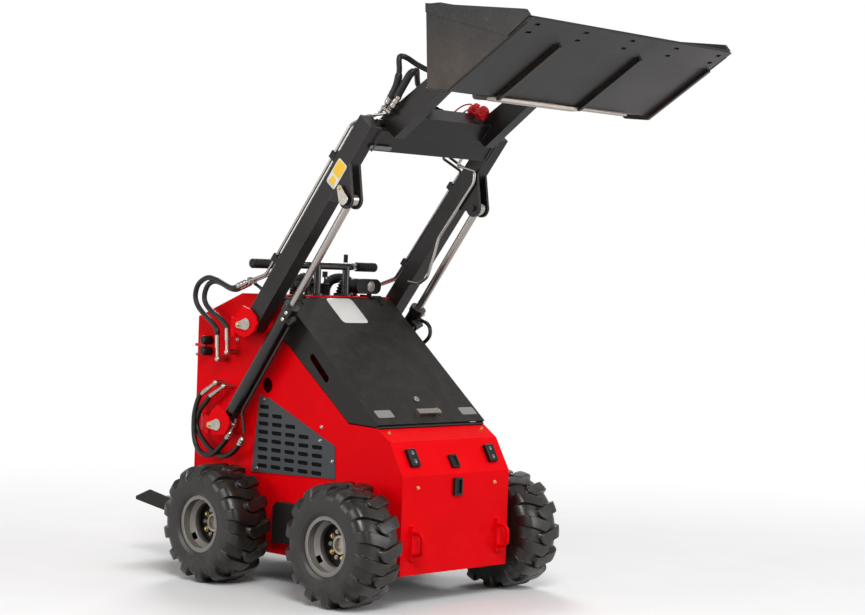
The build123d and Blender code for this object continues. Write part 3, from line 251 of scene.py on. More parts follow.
# %% Table of finishes
FINISHES = {
    # name: colour, roughness, and what else departs from the plain recipe
    "red_paint": dict(colour=paint(232, 0, 12), rough=0.4, tone=0.06, dust=0.03, spec=0.05,
                      edge=paint(240, 20, 30), edge_share=0.3, depth=0.00004, wave_depth=0.0006,
                      wave=4.0),
    "worn_steel": dict(colour=paint(176, 164, 154), rough=0.42, metal=0.4, tone=0.25, cloud=14.0,
                       dust_height=0.0, radius=0.0015),
    "charcoal_paint": dict(colour=paint(31, 28, 26), rough=0.42, dust=0.06, spec=0.22,
                           dust_height=0.0, edge=paint(104, 102, 100), edge_share=0.35,
                           grain=1400.0, depth=0.00012, wave_depth=0.0004, wave=4.0),
    # the arms' pale edge colour is partly worn paint and partly a painted highlight on their corners
    "arm_paint": dict(colour=paint(34, 31, 30), rough=0.34, tone=0.16, dust=0.08, spec=0.26,
                      dust_height=0.0, edge=paint(150, 148, 146), edge_share=0.6, grain=700.0,
                      depth=0.00006),
    "barrel_paint": dict(colour=paint(9, 8, 9), rough=0.2, coat=0.25, tone=0.1, dust=0.02,
                         dust_height=0.0, edge=paint(90, 88, 86), edge_share=0.4, spec=0.45,
                         depth=0.00002),
    "grille_paint": dict(colour=paint(66, 69, 72), rough=0.55, tone=0.08, dust=0.08, spec=0.3,
                         edge=paint(112, 112, 114), grain=1700.0, depth=0.0002, radius=0.001),
    "bucket_paint": dict(colour=paint(23, 20, 20), rough=0.36, tone=0.26, dust=0.06, spec=0.26,
                         dust_height=0.0, cloud=3.0, edge=paint(104, 98, 94), edge_share=0.4,
                         scratch=0.4, wave_depth=0.0006, wave=3.0),
    "wheel_paint": dict(colour=paint(128, 124, 120), rough=0.4, metal=0.45, dust=0.35,
                        edge=paint(206, 202, 196), edge_share=0.8, dust_height=0.4, radius=0.0025),
    "tyre_rubber": dict(colour=paint(21, 17, 14), rough=0.33, tone=0.2, cloud=9.0, dust=0.12,
                        edge=paint(76, 66, 58), edge_share=0.25, dust_height=0.3, depth=0.0002,
                        grain=600.0, radius=0.003, spread=0.1),
    "hose_rubber": dict(colour=paint(20, 19, 18), rough=0.42, tone=0.15, dust=0.05,
                        dust_height=0.0, grain=1200.0, depth=0.0002, radius=0.001, spec=0.35),
    "zinc": dict(colour=paint(178, 171, 160), rough=0.32, metal=1.0, tone=0.16, cloud=30.0,
                 dust=0.05, radius=0.001, depth=0.00006),
    "brass": dict(colour=paint(198, 176, 112), rough=0.34, metal=1.0, tone=0.2, cloud=40.0,
                  dust=0.05, radius=0.001, depth=0.00004),
    "chrome": dict(colour=paint(166, 160, 155), rough=0.18, metal=1.0, tone=0.05, dust=0.0,
                   spread=0.05, radius=0.001, depth=0.00001),
    "cast": dict(colour=paint(66, 66, 68), rough=0.6, metal=0.4, tone=0.15, dust=0.3, grain=500.0,
                 depth=0.0004),
    "black_paint": dict(colour=paint(12, 12, 13), rough=0.3, coat=0.2, dust=0.05, dust_height=0.0,
                        edge=paint(90, 90, 90), edge_share=0.3, spec=0.4),
    "black_plastic": dict(colour=paint(13, 13, 14), rough=0.46, dust=0.05, dust_height=0.0,
                          grain=1500.0, edge=paint(52, 52, 52), edge_share=0.25, radius=0.001,
                          spec=0.28),
    "lens": dict(colour=paint(84, 84, 86), rough=0.1, coat=0.8, tone=0.2, cloud=60.0, dust=0.0,
                 spread=0.04, radius=0.001, depth=0.0, spec=0.6),
    "lamp_glass": dict(colour=paint(150, 144, 140), rough=0.2, coat=0.5, tone=0.5, cloud=70.0,
                       dust=0.0, radius=0.0005, depth=0.0002, grain=500.0, spec=0.6),
    "screen_mesh": dict(colour=paint(12, 12, 12), rough=0.8, tone=0.3, cloud=60.0, dust=0.0,
                        grain=2200.0, depth=0.0004, radius=0.0005, spec=0.1),
    "white_film": dict(colour=paint(226, 225, 222), rough=0.35, coat=0.3, tone=0.03, dust=0.05,
                       dust_height=0.0, radius=0.0005, depth=0.00002),
    "yellow_film": dict(colour=paint(246, 196, 0), rough=0.35, coat=0.3, tone=0.04, dust=0.04,
                        dust_height=0.0, radius=0.0005, depth=0.00002),
    "grey_film": dict(colour=paint(132, 131, 130), rough=0.42, tone=0.08, dust=0.06,
                      dust_height=0.0, radius=0.0005, depth=0.00004),
    "red_plastic": dict(colour=paint(206, 4, 18), rough=0.38, tone=0.08, dust=0.03, spec=0.35,
                        dust_height=0.0, grain=1500.0, depth=0.00006),
}
finishes = {name: finish_material(name, **values) for name, values in FINISHES.items()}
print("finishes:", ", ".join(finishes))

# %% [markdown]
# Some finishes change in one place only. The bucket's ends are brown with dried soil, and its bottom is
# lighter towards the left. A wheel's paint carries painted shade: it is darker deep in its dish.
# The hood's sheet is pierced by small round holes in a curved band, where hot air leaves.
# There are hundreds of them, so a mask draws them: a Voronoi texture without any
# randomness gives the distance to the nearest point of a square grid, which is turned by
# 45 degrees, and whatever lies nearer than a hole's radius is black.

# %% Helpers for masks
def masked(material, mask, colour):
    """Lay a colour over a material's base colour wherever the mask is 1."""
    tree = material.node_tree
    socket = tree.nodes["Principled BSDF"].inputs["Base Color"]
    tree.links.new(mix_colour(tree, mask, socket.links[0].from_socket, colour), socket)


def span(tree, value, low, high):
    """Mask that climbs from 0 at low to 1 at high."""
    return step(tree, "MapRange", {"Value": value, "From Min": low, "From Max": high}).outputs[0]


def times(tree, *masks):
    """Product of several masks."""
    product = masks[0]
    for mask in masks[1:]:
        product = step(tree, "Math", {0: product, 1: mask}, operation="MULTIPLY").outputs[0]
    return product


def place_and_facing(tree):
    """Object coordinates, the same as three numbers, and the face's direction as three numbers."""
    place = step(tree, "TexCoord").outputs["Object"]
    spot = step(tree, "SeparateXYZ", {0: place})
    facing = step(tree, "SeparateXYZ", {0: step(tree, "NewGeometry").outputs["Normal"]})
    return place, spot.outputs, facing.outputs


print("helpers for masks made")

# %% Soil and a lighter bottom on the bucket, painted shade in the wheels' dishes
# limits of a place are metres from the machine's origin, those of a direction go to 1
SOIL = paint(76, 61, 45)
LIGHTER_BOTTOM = paint(84, 78, 82)
DISH_PAINTED_SHADE = paint(34, 32, 31)

bucket_tree = finishes["bucket_paint"].node_tree
place, spot, facing = place_and_facing(bucket_tree)
sideways = step(bucket_tree, "Math", {0: facing[1]}, operation="ABSOLUTE")
speck = step(bucket_tree, "TexNoise", {"Vector": place, "Scale": 11.0, "Detail": 7.0, "Roughness": 0.7})
soil = times(bucket_tree,
             span(bucket_tree, sideways.outputs[0], 0.6, 0.95),
             span(bucket_tree, speck.outputs["Fac"], 0.3, 0.8),
             span(bucket_tree, spot[2], 2.14, 1.94))
# the bucket's downward faces are made lighter, more so towards the left
lighter_bottom = times(bucket_tree,
               span(bucket_tree, spot[1], 0.1, 0.6),
               span(bucket_tree, facing[2], -0.4, -0.8))
masked(finishes["bucket_paint"], soil, SOIL)
masked(finishes["bucket_paint"], lighter_bottom, LIGHTER_BOTTOM)

# painted shade: the wheel's paint is darkened deep in its dish
wheel_tree = finishes["wheel_paint"].node_tree
place, spot, facing = place_and_facing(wheel_tree)
outward = step(wheel_tree, "Math", {0: spot[1]}, operation="ABSOLUTE")
masked(finishes["wheel_paint"], span(wheel_tree, outward.outputs[0], 0.478, 0.455), DISH_PAINTED_SHADE)
print("masks laid on the bucket and the wheels")

# %% Round holes in the hood
HOLE_BLACK = paint(6, 6, 6)
HOLES_PER_METRE = 78.0
# a hole fades in between these shares of the grid's spacing
HOLE_EDGE = (0.32, 0.24)
# the band lies between two ovals in the hood's own plane, metres down it and to the left
HOOD_DOWN = (0.7691, 0.0, -0.6391)
BAND_MIDDLE = (-0.5214, -0.005, 0.0)
BAND_OUTSIDE = (4.46, 4.6, 0.0)
BAND_INSIDE = (6.3, 6.9, 0.0)
EIGHTH_TURN = (0.0, 0.0, 0.785)


def oval(tree, flat, stretch):
    """Distance from the band's middle after a stretch: it's 1 on an oval with radii 1 / stretch."""
    offset = step(tree, "VectorMath", {0: flat, 1: BAND_MIDDLE}, operation="SUBTRACT")
    stretched = step(tree, "VectorMath", {0: offset.outputs[0], 1: stretch}, operation="MULTIPLY")
    return step(tree, "VectorMath", {0: stretched.outputs[0]}, operation="LENGTH").outputs["Value"]


finishes["hood_paint"] = finish_material("hood_paint", **FINISHES["charcoal_paint"])
hood_tree = finishes["hood_paint"].node_tree
place, spot, facing = place_and_facing(hood_tree)
down = step(hood_tree, "VectorMath", {0: place, 1: HOOD_DOWN}, operation="DOT_PRODUCT").outputs["Value"]
flat = step(hood_tree, "CombineXYZ", {0: down, 1: spot[1]}).outputs[0]
turned = step(hood_tree, "Mapping", {"Vector": flat, "Rotation": EIGHTH_TURN})
grid = step(hood_tree, "TexVoronoi", {"Vector": turned.outputs[0], "Scale": HOLES_PER_METRE,
                                      "Randomness": 0.0}, feature="F1", voronoi_dimensions="2D")
holes = times(hood_tree,
              span(hood_tree, grid.outputs["Distance"], *HOLE_EDGE),
              span(hood_tree, oval(hood_tree, flat, BAND_OUTSIDE), 1.0, 0.99),
              span(hood_tree, oval(hood_tree, flat, BAND_INSIDE), 1.0, 1.01),
              span(hood_tree, down, -0.385, -0.39),
              span(hood_tree, spot[1], -0.15, -0.145),
              span(hood_tree, facing[2], 0.6, 0.7))
masked(finishes["hood_paint"], holes, HOLE_BLACK)
print("holes drawn in the hood:", HOLES_PER_METRE, "to the metre")

# %% [markdown]
# The loaded solids keep their shapes and only take a finish. A table says which pieces,
# by the first letters of their names, are which finish. The longest match wins.

# %% Paint the solids
PAINTED = {
    "red_paint": ("side_plate", "front_panel", "rear_panel", "pivot_bracket", "cylinder_bracket",
                  "tie_down", "console_panel", "wheel_motors"),
    "hood_paint": ("hood",),
    "charcoal_paint": ("hood_hinges", "platform", "floor_plate", "drive_cover"),
    "arm_paint": ("arm_", "crossbeam", "front_frame"),
    "barrel_paint": ("lift_barrel", "tilt_barrel", "handlebar"),
    "grille_paint": ("grille",),
    "bucket_paint": ("bucket", "hitch_plate"),
    "wheel_paint": ("rim",),
    "tyre_rubber": ("tyre",),
    "zinc": ("bracket_pins", "hub", "hood_latch", "link_plate", "side_fittings"),
    "chrome": ("lift_rod", "tilt_rod", "arm_lines"),
    "cast": ("engine_block",),
    "black_plastic": ("front_lamps", "front_ports", "control_levers", "console_caps", "work_lamp"),
}
for name, piece in nodes.items():
    fits = [(len(start), finish) for finish, starts in PAINTED.items() for start in starts
            if name.startswith(start)]
    material = finishes[max(fits)[1]]
    piece.data.materials.clear()
    piece.data.materials.append(material)
print("solids painted:", len(nodes))

# %% [markdown]
# Every piece added below is a sheet of points worked out with numpy: rows follow a path or
# a profile, columns run round it, and neighbouring points make the faces. A shape is a set
# of points with its four-sided and three-sided faces, so that many shapes can be joined to
# one piece. Places are given in millimetres from the middle of the wheelbase, as on a
# maker's drawing: X to the front, Y to the left and Z up. A last step turns them to metres
# from the machine's own origin.

# %% Helpers for sheets of points
DRAWING_SHIFT = np.array((-0.1145, 0.0, 0.0))


def metres(points):
    """Drawing millimetres to metres from the machine's origin: p / 1000 + shift."""
    return np.asarray(points, float) / 1000.0 + DRAWING_SHIFT


def lattice(rows, columns, wrap_rows=False, wrap_columns=False):
    """Four-sided faces between neighbouring rows and columns of a sheet of points."""
    row, column = np.meshgrid(np.arange(rows if wrap_rows else rows - 1),
                              np.arange(columns if wrap_columns else columns - 1), indexing="ij")
    next_row = (row + 1) % rows
    next_column = (column + 1) % columns
    return np.stack((row * columns + column, row * columns + next_column,
                     next_row * columns + next_column, next_row * columns + column),
                    axis=-1).reshape(-1, 4)


def with_ends(points, first, last, sides):
    """Shape from rings of points, with a fan of triangles to one point at each end."""
    count = len(points)
    column = np.arange(sides)
    following = (column + 1) % sides
    top = count - sides
    fans = np.vstack((np.stack((np.full(sides, count), following, column), axis=-1),
                      np.stack((np.full(sides, count + 1), top + column, top + following), axis=-1)))
    return np.vstack((points, first, last)), lattice(count // sides, sides, wrap_columns=True), fans


def in_metres(shape):
    """A shape drawn in millimetres, in metres from the machine's origin."""
    points, quads, fans = shape
    return metres(points), quads, fans


def turned_over(shape):
    """The same shape with every face pointing the other way, as a mirrored one needs."""
    points, quads, fans = shape
    return points, quads[:, ::-1], fans[:, ::-1]


def joined(shapes):
    """Several shapes as one: their points stacked and their faces shifted."""
    points, quads, fans, start = [], [], [], 0
    for shape_points, shape_quads, shape_fans in shapes:
        points.append(shape_points)
        quads.append(shape_quads + start)
        fans.append(shape_fans + start)
        start += len(shape_points)
    return np.vstack(points), np.vstack(quads), np.vstack(fans)


print("a sheet of 3 by 4 points has", len(lattice(3, 4)), "faces")

# %% [markdown]
# Two kinds of sheet are enough for most pieces. A round bar, hose or pipe is a ring carried
# along a path. A sleeve, nut or cap is a profile turned about an axis, as on a lathe, and
# with flats it becomes a hexagon. Both are closed at their ends.

# %% Rings carried along a path, and turned shapes
def unit(vectors):
    """Vectors made one long."""
    vectors = np.asarray(vectors, float)
    return vectors / np.linalg.norm(vectors, axis=-1, keepdims=True)


def carried(path, radii, sides, side_way=(0.0, 1.0, 0.0)):
    """Round surface along a path: p(t) + r(t) (n cos a + b sin a), with its ends closed by fans."""
    path = np.asarray(path, float)
    radii = np.broadcast_to(radii, len(path))
    along = unit(np.gradient(path, axis=0))
    first = unit(np.cross(np.asarray(side_way, float), along))
    second = np.cross(along, first)
    angle = np.linspace(0, 2 * np.pi, sides, endpoint=False)[None, :, None]
    ring = first[:, None] * np.cos(angle) + second[:, None] * np.sin(angle)
    points = (path[:, None] + radii[:, None, None] * ring).reshape(-1, 3)
    return with_ends(points, path[0], path[-1], sides)


def lathe(profile, place, axis, sides=24, flats=0):
    """Turned shape on an axis: profile rows are distance along it and radius.

    With flats, the radius becomes r cos(pi/f) / cos(a mod 2pi/f - pi/f), a bar with f flats."""
    profile = np.asarray(profile, float)
    axis = unit(axis)
    helper = np.array((0.0, 0.0, 1.0)) if abs(axis[2]) < 0.9 else np.array((1.0, 0.0, 0.0))
    first = unit(np.cross(helper, axis))
    second = np.cross(axis, first)
    angle = np.linspace(0, 2 * np.pi, sides, endpoint=False)
    shape = np.ones(sides)
    if flats:
        part = 2 * np.pi / flats
        shape = np.cos(part / 2) / np.cos(angle % part - part / 2)
    ring = first * np.cos(angle)[:, None] + second * np.sin(angle)[:, None]
    path = np.asarray(place, float) + profile[:, :1] * axis
    points = (path[:, None] + (profile[:, 1, None] * shape)[..., None] * ring).reshape(-1, 3)
    return with_ends(points, path[0], path[-1], sides)


print("a plain turned bar has", len(lathe(((0, 1), (9, 1)), (0, 0, 0), (0, 0, 1))[0]), "points")

# %% [markdown]
# A hose's path is a smooth line through a few places, and ribs or beads along it need
# points at even steps. The soft ramp shapes the edges of the tyres' bars.

# %% Smooth lines, even steps and soft ramps
def through(corners, steps=10):
    """Smooth line through points: Catmull-Rom cubic on each run, all runs at once."""
    corners = np.asarray(corners, float)
    padded = np.vstack((2 * corners[0] - corners[1], corners, 2 * corners[-1] - corners[-2]))
    before, here, after, beyond = padded[:-3], padded[1:-2], padded[2:-1], padded[3:]
    t = np.linspace(0, 1, steps, endpoint=False)[None, :, None]
    runs = 0.5 * (2 * here[:, None] + (after - before)[:, None] * t
                  + (2 * before - 5 * here + 4 * after - beyond)[:, None] * t ** 2
                  + (3 * here - before - 3 * after + beyond)[:, None] * t ** 3)
    return np.vstack((runs.reshape(-1, 3), corners[-1:]))


def evenly(path, spacing):
    """Points at even steps along a path, and how far along it each of them lies."""
    path = np.asarray(path, float)
    run = np.concatenate(([0.0], np.cumsum(np.linalg.norm(np.diff(path, axis=0), axis=1))))
    even = np.linspace(0, run[-1], int(run[-1] / spacing))
    return np.stack([np.interp(even, run, path[:, axis]) for axis in range(3)], axis=-1), even


def smooth_step(value):
    """Soft ramp from 0 to 1: 3v^2 - 2v^3."""
    value = np.clip(value, 0.0, 1.0)
    return value * value * (3 - 2 * value)


print("half way up the ramp:", smooth_step(0.5))

# %% [markdown]
# A shape becomes a piece when it gets a mesh, a finish and the moving body it rides on. Faces that meet at a
# small angle are shaded as one round surface, and a larger angle stays a sharp edge.

# %% From a shape to a piece
def add_piece(name, shape, finish, body, sharp=35.0):
    """Mesh object from a shape, with its finish and the body it rides on."""
    points, quads, fans = shape
    mesh = bpy.data.meshes.new(name)
    mesh.from_pydata(points.tolist(), [], quads.tolist() + fans.tolist())
    mesh.polygons.foreach_set("use_smooth", np.ones(len(mesh.polygons), bool))
    mesh.set_sharp_from_angle(angle=np.radians(sharp))
    mesh.materials.append(finishes[finish])
    made = bpy.data.objects.new(name, mesh)
    bpy.context.scene.collection.objects.link(made)
    if body:
        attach(made, body)
    return made


print("pieces wait for", len(finishes), "finishes")

# %% [markdown]
# Half of the small pieces sit on the raised arms, so their places are easier to give along
# the arm, across it and sideways. The arm's pivot and its raised angle turn them to the
# drawing's own directions.

# %% Places on the arms
ARM_PIVOT = np.array((-276.0, 1022.0))
ARM_RAISE = np.radians(51.6)


def on_arm(points):
    """Points given along the arm, across it to its front, and sideways, as drawing millimetres."""
    points = np.asarray(points, float)
    c, s = np.cos(ARM_RAISE), np.sin(ARM_RAISE)
    forward, across = points[..., 0], points[..., 1]
    return np.stack((ARM_PIVOT[0] + forward * c + across * s, points[..., 2],
                     ARM_PIVOT[1] + forward * s - across * c), axis=-1)


print("arm pivot at", ARM_PIVOT, "and raised by", np.degrees(ARM_RAISE).round(1), "degrees")

# %% [markdown]
# The tyres are bias-ply drive tyres: a round carcass with fourteen wide bars on each half,
# set in chevrons. The sheet of points runs round the wheel in columns and across the tread
# in rows. Its columns are sheared so that they follow the bars, which keeps the bars' edges
# straight, and a mask lifts the points from the carcass to the tread's outline.

# %% Sizes of the tyres
BARS = 14
PITCH = 2 * np.pi / BARS
BAR_SLANT = np.tan(np.radians(20.0))
# in millimetres: half a bar's width, how far it reaches past the middle, its edges' fall
BAR_HALF = 24.6
BAR_REACH = 30.0
BAR_FALL = 5.5
# in metres
TYRE_HALF = 0.102
TREAD_RADIUS = 0.2325
NO_FACES = np.zeros((0, 3), int)
# millimetres of arc from a bar's middle at which columns run, and half the pitch between bars
COLUMNS = np.array((0.0, 6.0, 12.0, 16.5, 18.5, 20.0, 21.6, 23.0, 24.4, 25.8, 27.0, 28.4, 30.4, 33.0,
                    38.0, 45.0))
HALF_PITCH = 52.17
# half section, bead to crown: carcass radius and side, then tread radius and side, in metres
SECTION = np.array((
    (0.1022, 0.0700, 0.1022, 0.0700), (0.1022, 0.0838, 0.1022, 0.0838), (0.1176, 0.0838, 0.1176, 0.0838),
    (0.1178, 0.0896, 0.1178, 0.0896), (0.1150, 0.0902, 0.1150, 0.0902), (0.1128, 0.0912, 0.1128, 0.0912),
    (0.1124, 0.0926, 0.1124, 0.0926), (0.1150, 0.0944, 0.1150, 0.0944), (0.1210, 0.0962, 0.1210, 0.0962),
    (0.1262, 0.0986, 0.1262, 0.0986), (0.1290, 0.0998, 0.1290, 0.0998), (0.1306, 0.0992, 0.1306, 0.0992),
    (0.1325, 0.0994, 0.1325, 0.0994), (0.1420, 0.1010, 0.1420, 0.1010), (0.1530, 0.1018, 0.1530, 0.1018),
    (0.1640, 0.1019, 0.1640, 0.1019), (0.1720, 0.1016, 0.1725, 0.1018), (0.1780, 0.1008, 0.1790, 0.1019),
    (0.1840, 0.0990, 0.1862, 0.1016), (0.1900, 0.0965, 0.1945, 0.1008), (0.1955, 0.0930, 0.2035, 0.0990),
    (0.2010, 0.0880, 0.2120, 0.0960), (0.2055, 0.0820, 0.2195, 0.0915), (0.2090, 0.0750, 0.2250, 0.0855),
    (0.2118, 0.0680, 0.2286, 0.0780), (0.2140, 0.0600, 0.2306, 0.0690), (0.2155, 0.0520, 0.2317, 0.0580),
    (0.2165, 0.0440, 0.2322, 0.0460), (0.2169, 0.0390, 0.2324, 0.0390), (0.2171, 0.0355, 0.2325, 0.0355),
    (0.2172, 0.0325, 0.2325, 0.0325), (0.2173, 0.0300, 0.2325, 0.0300), (0.2174, 0.0275, 0.2325, 0.0275),
    (0.2175, 0.0245, 0.2325, 0.0245), (0.2175, 0.0200, 0.2325, 0.0200), (0.2175, 0.0120, 0.2325, 0.0120),
    (0.2175, 0.0040, 0.2325, 0.0040)))
# half of the inside, crown to bead: radius and side
INNER = np.array(((0.2050, 0.0000), (0.2040, 0.0500), (0.1900, 0.0860), (0.1600, 0.0890),
                  (0.1300, 0.0800), (0.1080, 0.0690)))
print("tyre section:", len(SECTION), "points on each half of the outside")

# %% Tyres with bar treads
def tyre_shape(centre):
    """Chevron tyre: carcass(s) + mask(a, s) (tread(s) - carcass(s)), turned about the axle.

    The mask is 1 on a bar and falls softly over 5.5 mm of arc at its edges. Each half's bars sit
    half a pitch from the other's, reach past the middle, and end there in a round nose:
    beyond the middle their half width shrinks with the square of the distance."""
    offsets = np.concatenate((COLUMNS, -COLUMNS[1:], [HALF_PITCH])) / 1000 / TREAD_RADIUS
    angle = np.sort((np.arange(BARS)[:, None] * PITCH + offsets[None]).ravel())
    outer = np.vstack((SECTION, SECTION[::-1] * (1, -1, 1, -1)))
    shear = (np.abs(outer[:, 1]) - TYRE_HALF / 2) * BAR_SLANT / TREAD_RADIUS
    lift = np.zeros((len(outer), len(angle)))
    for half in (1, -1):
        shift = 0.0 if half > 0 else PITCH / 2
        arc = np.abs((angle - shift + PITCH / 2) % PITCH - PITCH / 2) * 1000 * TREAD_RADIUS
        past = np.clip(-half * outer[:, 1] * 1000 / BAR_REACH, 0.0, 1.2)[:, None]
        half_width = BAR_HALF - 2.0 * np.clip(past * 4, 0, 1) - 9.0 * past ** 2
        bar = smooth_step((half_width - arc[None]) / BAR_FALL + 0.5)
        inward = (half * outer[:, 1] * 1000 + BAR_REACH)[:, None]
        nose = smooth_step(inward / 5.0 - (arc[None] / 14.0) ** 2 + 0.3)
        lift = np.maximum(lift, bar * nose)
    radius = outer[:, None, 0] + lift * (outer[:, None, 2] - outer[:, None, 0])
    across = outer[:, None, 1] + lift * (outer[:, None, 3] - outer[:, None, 1])
    turn = angle[None] + shear[:, None]
    inside = np.vstack((INNER[::-1] * (1, -1), INNER[1:]))
    inner_radius = np.repeat(inside[:, :1], len(angle), axis=1)
    inner_across = np.repeat(inside[:, 1:], len(angle), axis=1)
    inner_turn = np.repeat(angle[None], len(inside), axis=0) + shear[0]
    radius = np.vstack((radius, inner_radius))
    across = np.vstack((across, inner_across))
    turn = np.vstack((turn, inner_turn))
    points = np.stack((radius * np.cos(turn), across, radius * np.sin(turn)), axis=-1)
    faces = lattice(len(radius), len(angle), wrap_rows=True, wrap_columns=True)
    return points.reshape(-1, 3) + centre, faces, NO_FACES


for name in [name for name in nodes if name.startswith("tyre_")]:
    low, high = (np.array(corner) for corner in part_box(name))
    tread = add_piece("tread_" + name[5:], tyre_shape((low + high) / 2), "tyre_rubber",
                      name.replace("tyre_", "wheel_"), sharp=60.0)
    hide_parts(name)
print("tyres:", BARS, "bars on each half,", len(tread.data.polygons), "faces each")

# %% [markdown]
# Oil reaches the cylinders through hoses with a wire spiral inside and a rough black cover.
# A hose that crosses a pivot runs from one body at its foot to the other at its head, but it is made as one
# piece fixed in place, which rides on neither. Its path is a smooth line through a few places it hangs
# through. Two of them wear a thick rubber boot where they leave the arm, which is a second, wider tube round
# the start of the same path.

# %% Oil hoses
HOSE_RADIUS = 10.5
HOSES = {
    # name: the two bodies, and the path in drawing millimetres from the first to the second
    "hose_upper_long": ("base", "arms", (
        (-519, -340, 967), (-523, -341, 990), (-557, -342, 1020), (-605, -344, 1050), (-645, -346, 1086),
        (-657, -348, 1126), (-636, -350, 1170), (-578, -354, 1197), (-516, -358, 1192), (-457, -363, 1174),
        (-402, -368, 1161), (-361, -369, 1170))),
    "hose_upper_short": ("base", "arms", (
        (-459, -340, 998), (-468, -341, 1012), (-506, -342, 1038), (-562, -344, 1066), (-596, -346, 1098),
        (-600, -346, 1134), (-578, -346, 1170), (-537, -346, 1184), (-492, -346, 1176), (-446, -346, 1160),
        (-404, -346, 1155), (-365, -346, 1167))),
    "hose_lower_long": ("base", "lift_barrel_right", (
        (-605, -340, 730), (-624, -342, 702), (-634, -347, 664), (-637, -351, 625), (-631, -355, 573),
        (-620, -357, 534), (-600, -358, 504), (-562, -358, 482), (-505, -355, 488), (-452, -352, 527),
        (-421, -351, 559), (-412, -351, 576))),
    "hose_lower_short": ("base", "lift_barrel_right", (
        (-552, -340, 719), (-575, -340, 694), (-612, -339, 660), (-632, -338, 622), (-636, -337, 596),
        (-622, -337, 567), (-593, -337, 538), (-552, -338, 510), (-508, -340, 491), (-452, -344, 484),
        (-400, -348, 498), (-363, -351, 522), (-338, -351, 552))),
    "hose_elbow_cross": ("arms", "tilt_barrel", (
        (392, -300, 1895), (404, -300, 1911), (424, -300, 1948), (433, -300, 1994), (430, -300, 2036),
        (430, -290, 2050), (442, -268, 2044), (440, -215, 2026), (428, -150, 2014), (404, -90, 2012),
        (376, -30, 2010), (366, -12, 2000))),
    "hose_elbow_loop": ("arms", "tilt_barrel", (
        (424, -300, 1894), (434, -300, 1908), (463, -299, 1947), (486, -297, 1978), (497, -288, 1990),
        (494, -272, 1996), (476, -250, 1994), (448, -220, 1976), (414, -180, 1956), (380, -130, 1950),
        (350, -70, 1962), (332, -16, 1982))),
}
# how many rings of the path each boot covers
BOOTS = {"hose_elbow_cross": 18, "hose_elbow_loop": 26}


def ribbed(places, radius, swell, pitch, spacing, sides, side_way):
    """Ribbed tube along a smooth path: radius r (1 + w cos(2 pi s / p)), s the path's length."""
    path, along = evenly(through(places, 26), spacing)
    radii = radius * (1 + swell * np.cos(2 * np.pi * along / pitch))
    return in_metres(carried(path, radii, sides, side_way))


def boot(places, rings):
    """Smooth tube round the start of a path, drawn in at both of its ends."""
    radii = np.concatenate(([11.0, 13.6], np.full(rings - 4, 14.6), [13.6, 10.8]))
    return in_metres(carried(through(places[:6], 6)[:rings], radii, 16))


for name, (first, second, places) in HOSES.items():
    shape = ribbed(places, HOSE_RADIUS, 0.03, 9.0, 3.0, 14, (0.2, 1.0, 0.3))
    piece = add_piece(name, shape, "hose_rubber", None, sharp=60.0)
    start, end = metres(places)[[1, -2]]
    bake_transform(piece)
boots = [boot(HOSES[name][2], rings) for name, rings in BOOTS.items()]
add_piece("hose_boots", joined(boots), "hose_rubber", "arms", sharp=60.0)
print("hoses:", len(HOSES), "and boots:", len(boots))

# %% [markdown]
# Where a hose ends, a plated sleeve is crimped round it, and a hexagon nut screws its pipe
# to a port. A sleeve is a turned shape: a collar, a ribbed barrel and a neck. The same
# recipe makes every one; only its place and direction change. A steel pipe is a round tube
# with straight runs and soft bends.

# %% Helpers for turned shapes and bent pipes
SLEEVE = np.array(((0.0, 9.5), (0.0, 12.0), (3.0, 13.2), (8.0, 13.2), (9.5, 12.0), (12.0, 12.0),
                   (13.5, 13.2), (20.0, 13.2), (21.5, 12.0), (24.0, 12.0), (25.5, 13.2),
                   (32.0, 13.2), (35.0, 11.0), (37.0, 8.5), (42.0, 8.0)))
NUT = np.array(((0.0, 8.0), (0.0, 13.0), (1.5, 14.2), (13.0, 14.2), (14.5, 13.0), (14.5, 8.0)))
HOSE_NUT = ((40, 8), (60, 8), (62, 13), (74, 13), (76, 9), (100, 9))
PORT = ((0, 9), (0, 21), (2, 23), (30, 23), (32, 21), (32, 9))
STUD = ((0, 5), (0, 7.5), (1, 8.5), (7, 8.5), (8.5, 7), (8.5, 4))


def turned_shape(profile, place, towards, sides=20, flats=0):
    """Turned shape in metres from a place to a second place that gives only the direction."""
    return in_metres(lathe(profile, place, np.subtract(towards, place), sides, flats))


def bent_pipe(corners, radius, cut=22.0, sides=12):
    """Round pipe along straight runs with a soft bend at each corner, (1-t)^2 a + 2t(1-t) c + t^2 b."""
    corners = np.asarray(corners, float)
    back = unit(corners[:-2] - corners[1:-1])
    ahead = unit(corners[2:] - corners[1:-1])
    t = np.linspace(0, 1, 7)[None, :, None]
    middle = corners[1:-1, None]
    bends = ((1 - t) ** 2 * (middle + cut * back[:, None]) + 2 * t * (1 - t) * middle
             + t ** 2 * (middle + cut * ahead[:, None]))
    path = np.vstack((corners[:1], bends.reshape(-1, 3), corners[-1:]))
    return in_metres(carried(path, radius, sides, (0.1, 1.0, 0.2)))


print("a sleeve is", SLEEVE[-1, 0], "mm long, a nut", NUT[-1, 0])

# %% [markdown]
# Each lift cylinder carries a steel pipe along its front, from its foot to a square port at
# its head, and two studs hold the head. Both cylinders are alike, so a loop makes them, and
# places are given along the barrel, out to its front and outward.

# %% Pipes, ports and studs of the lift cylinders
SIDES = ((-1.0, "right"), (1.0, "left"))
BARREL_FOOT = np.array((-434.0, -351.0, 613.0))
BARREL_WAY = np.array((0.6052, 0.0, 0.7961))
BARREL_FRONT = np.array((0.7961, 0.0, -0.6052))


def on_barrel(places, side=-1.0):
    """Distance along the lift barrel, out to its front, and outward, as drawing millimetres."""
    places = np.asarray(places, float)
    in_plane = places[..., :1] * BARREL_WAY + places[..., 1:2] * BARREL_FRONT
    return BARREL_FOOT * (1, -side, 1) + in_plane + places[..., 2:3] * np.array((0.0, side, 0.0))


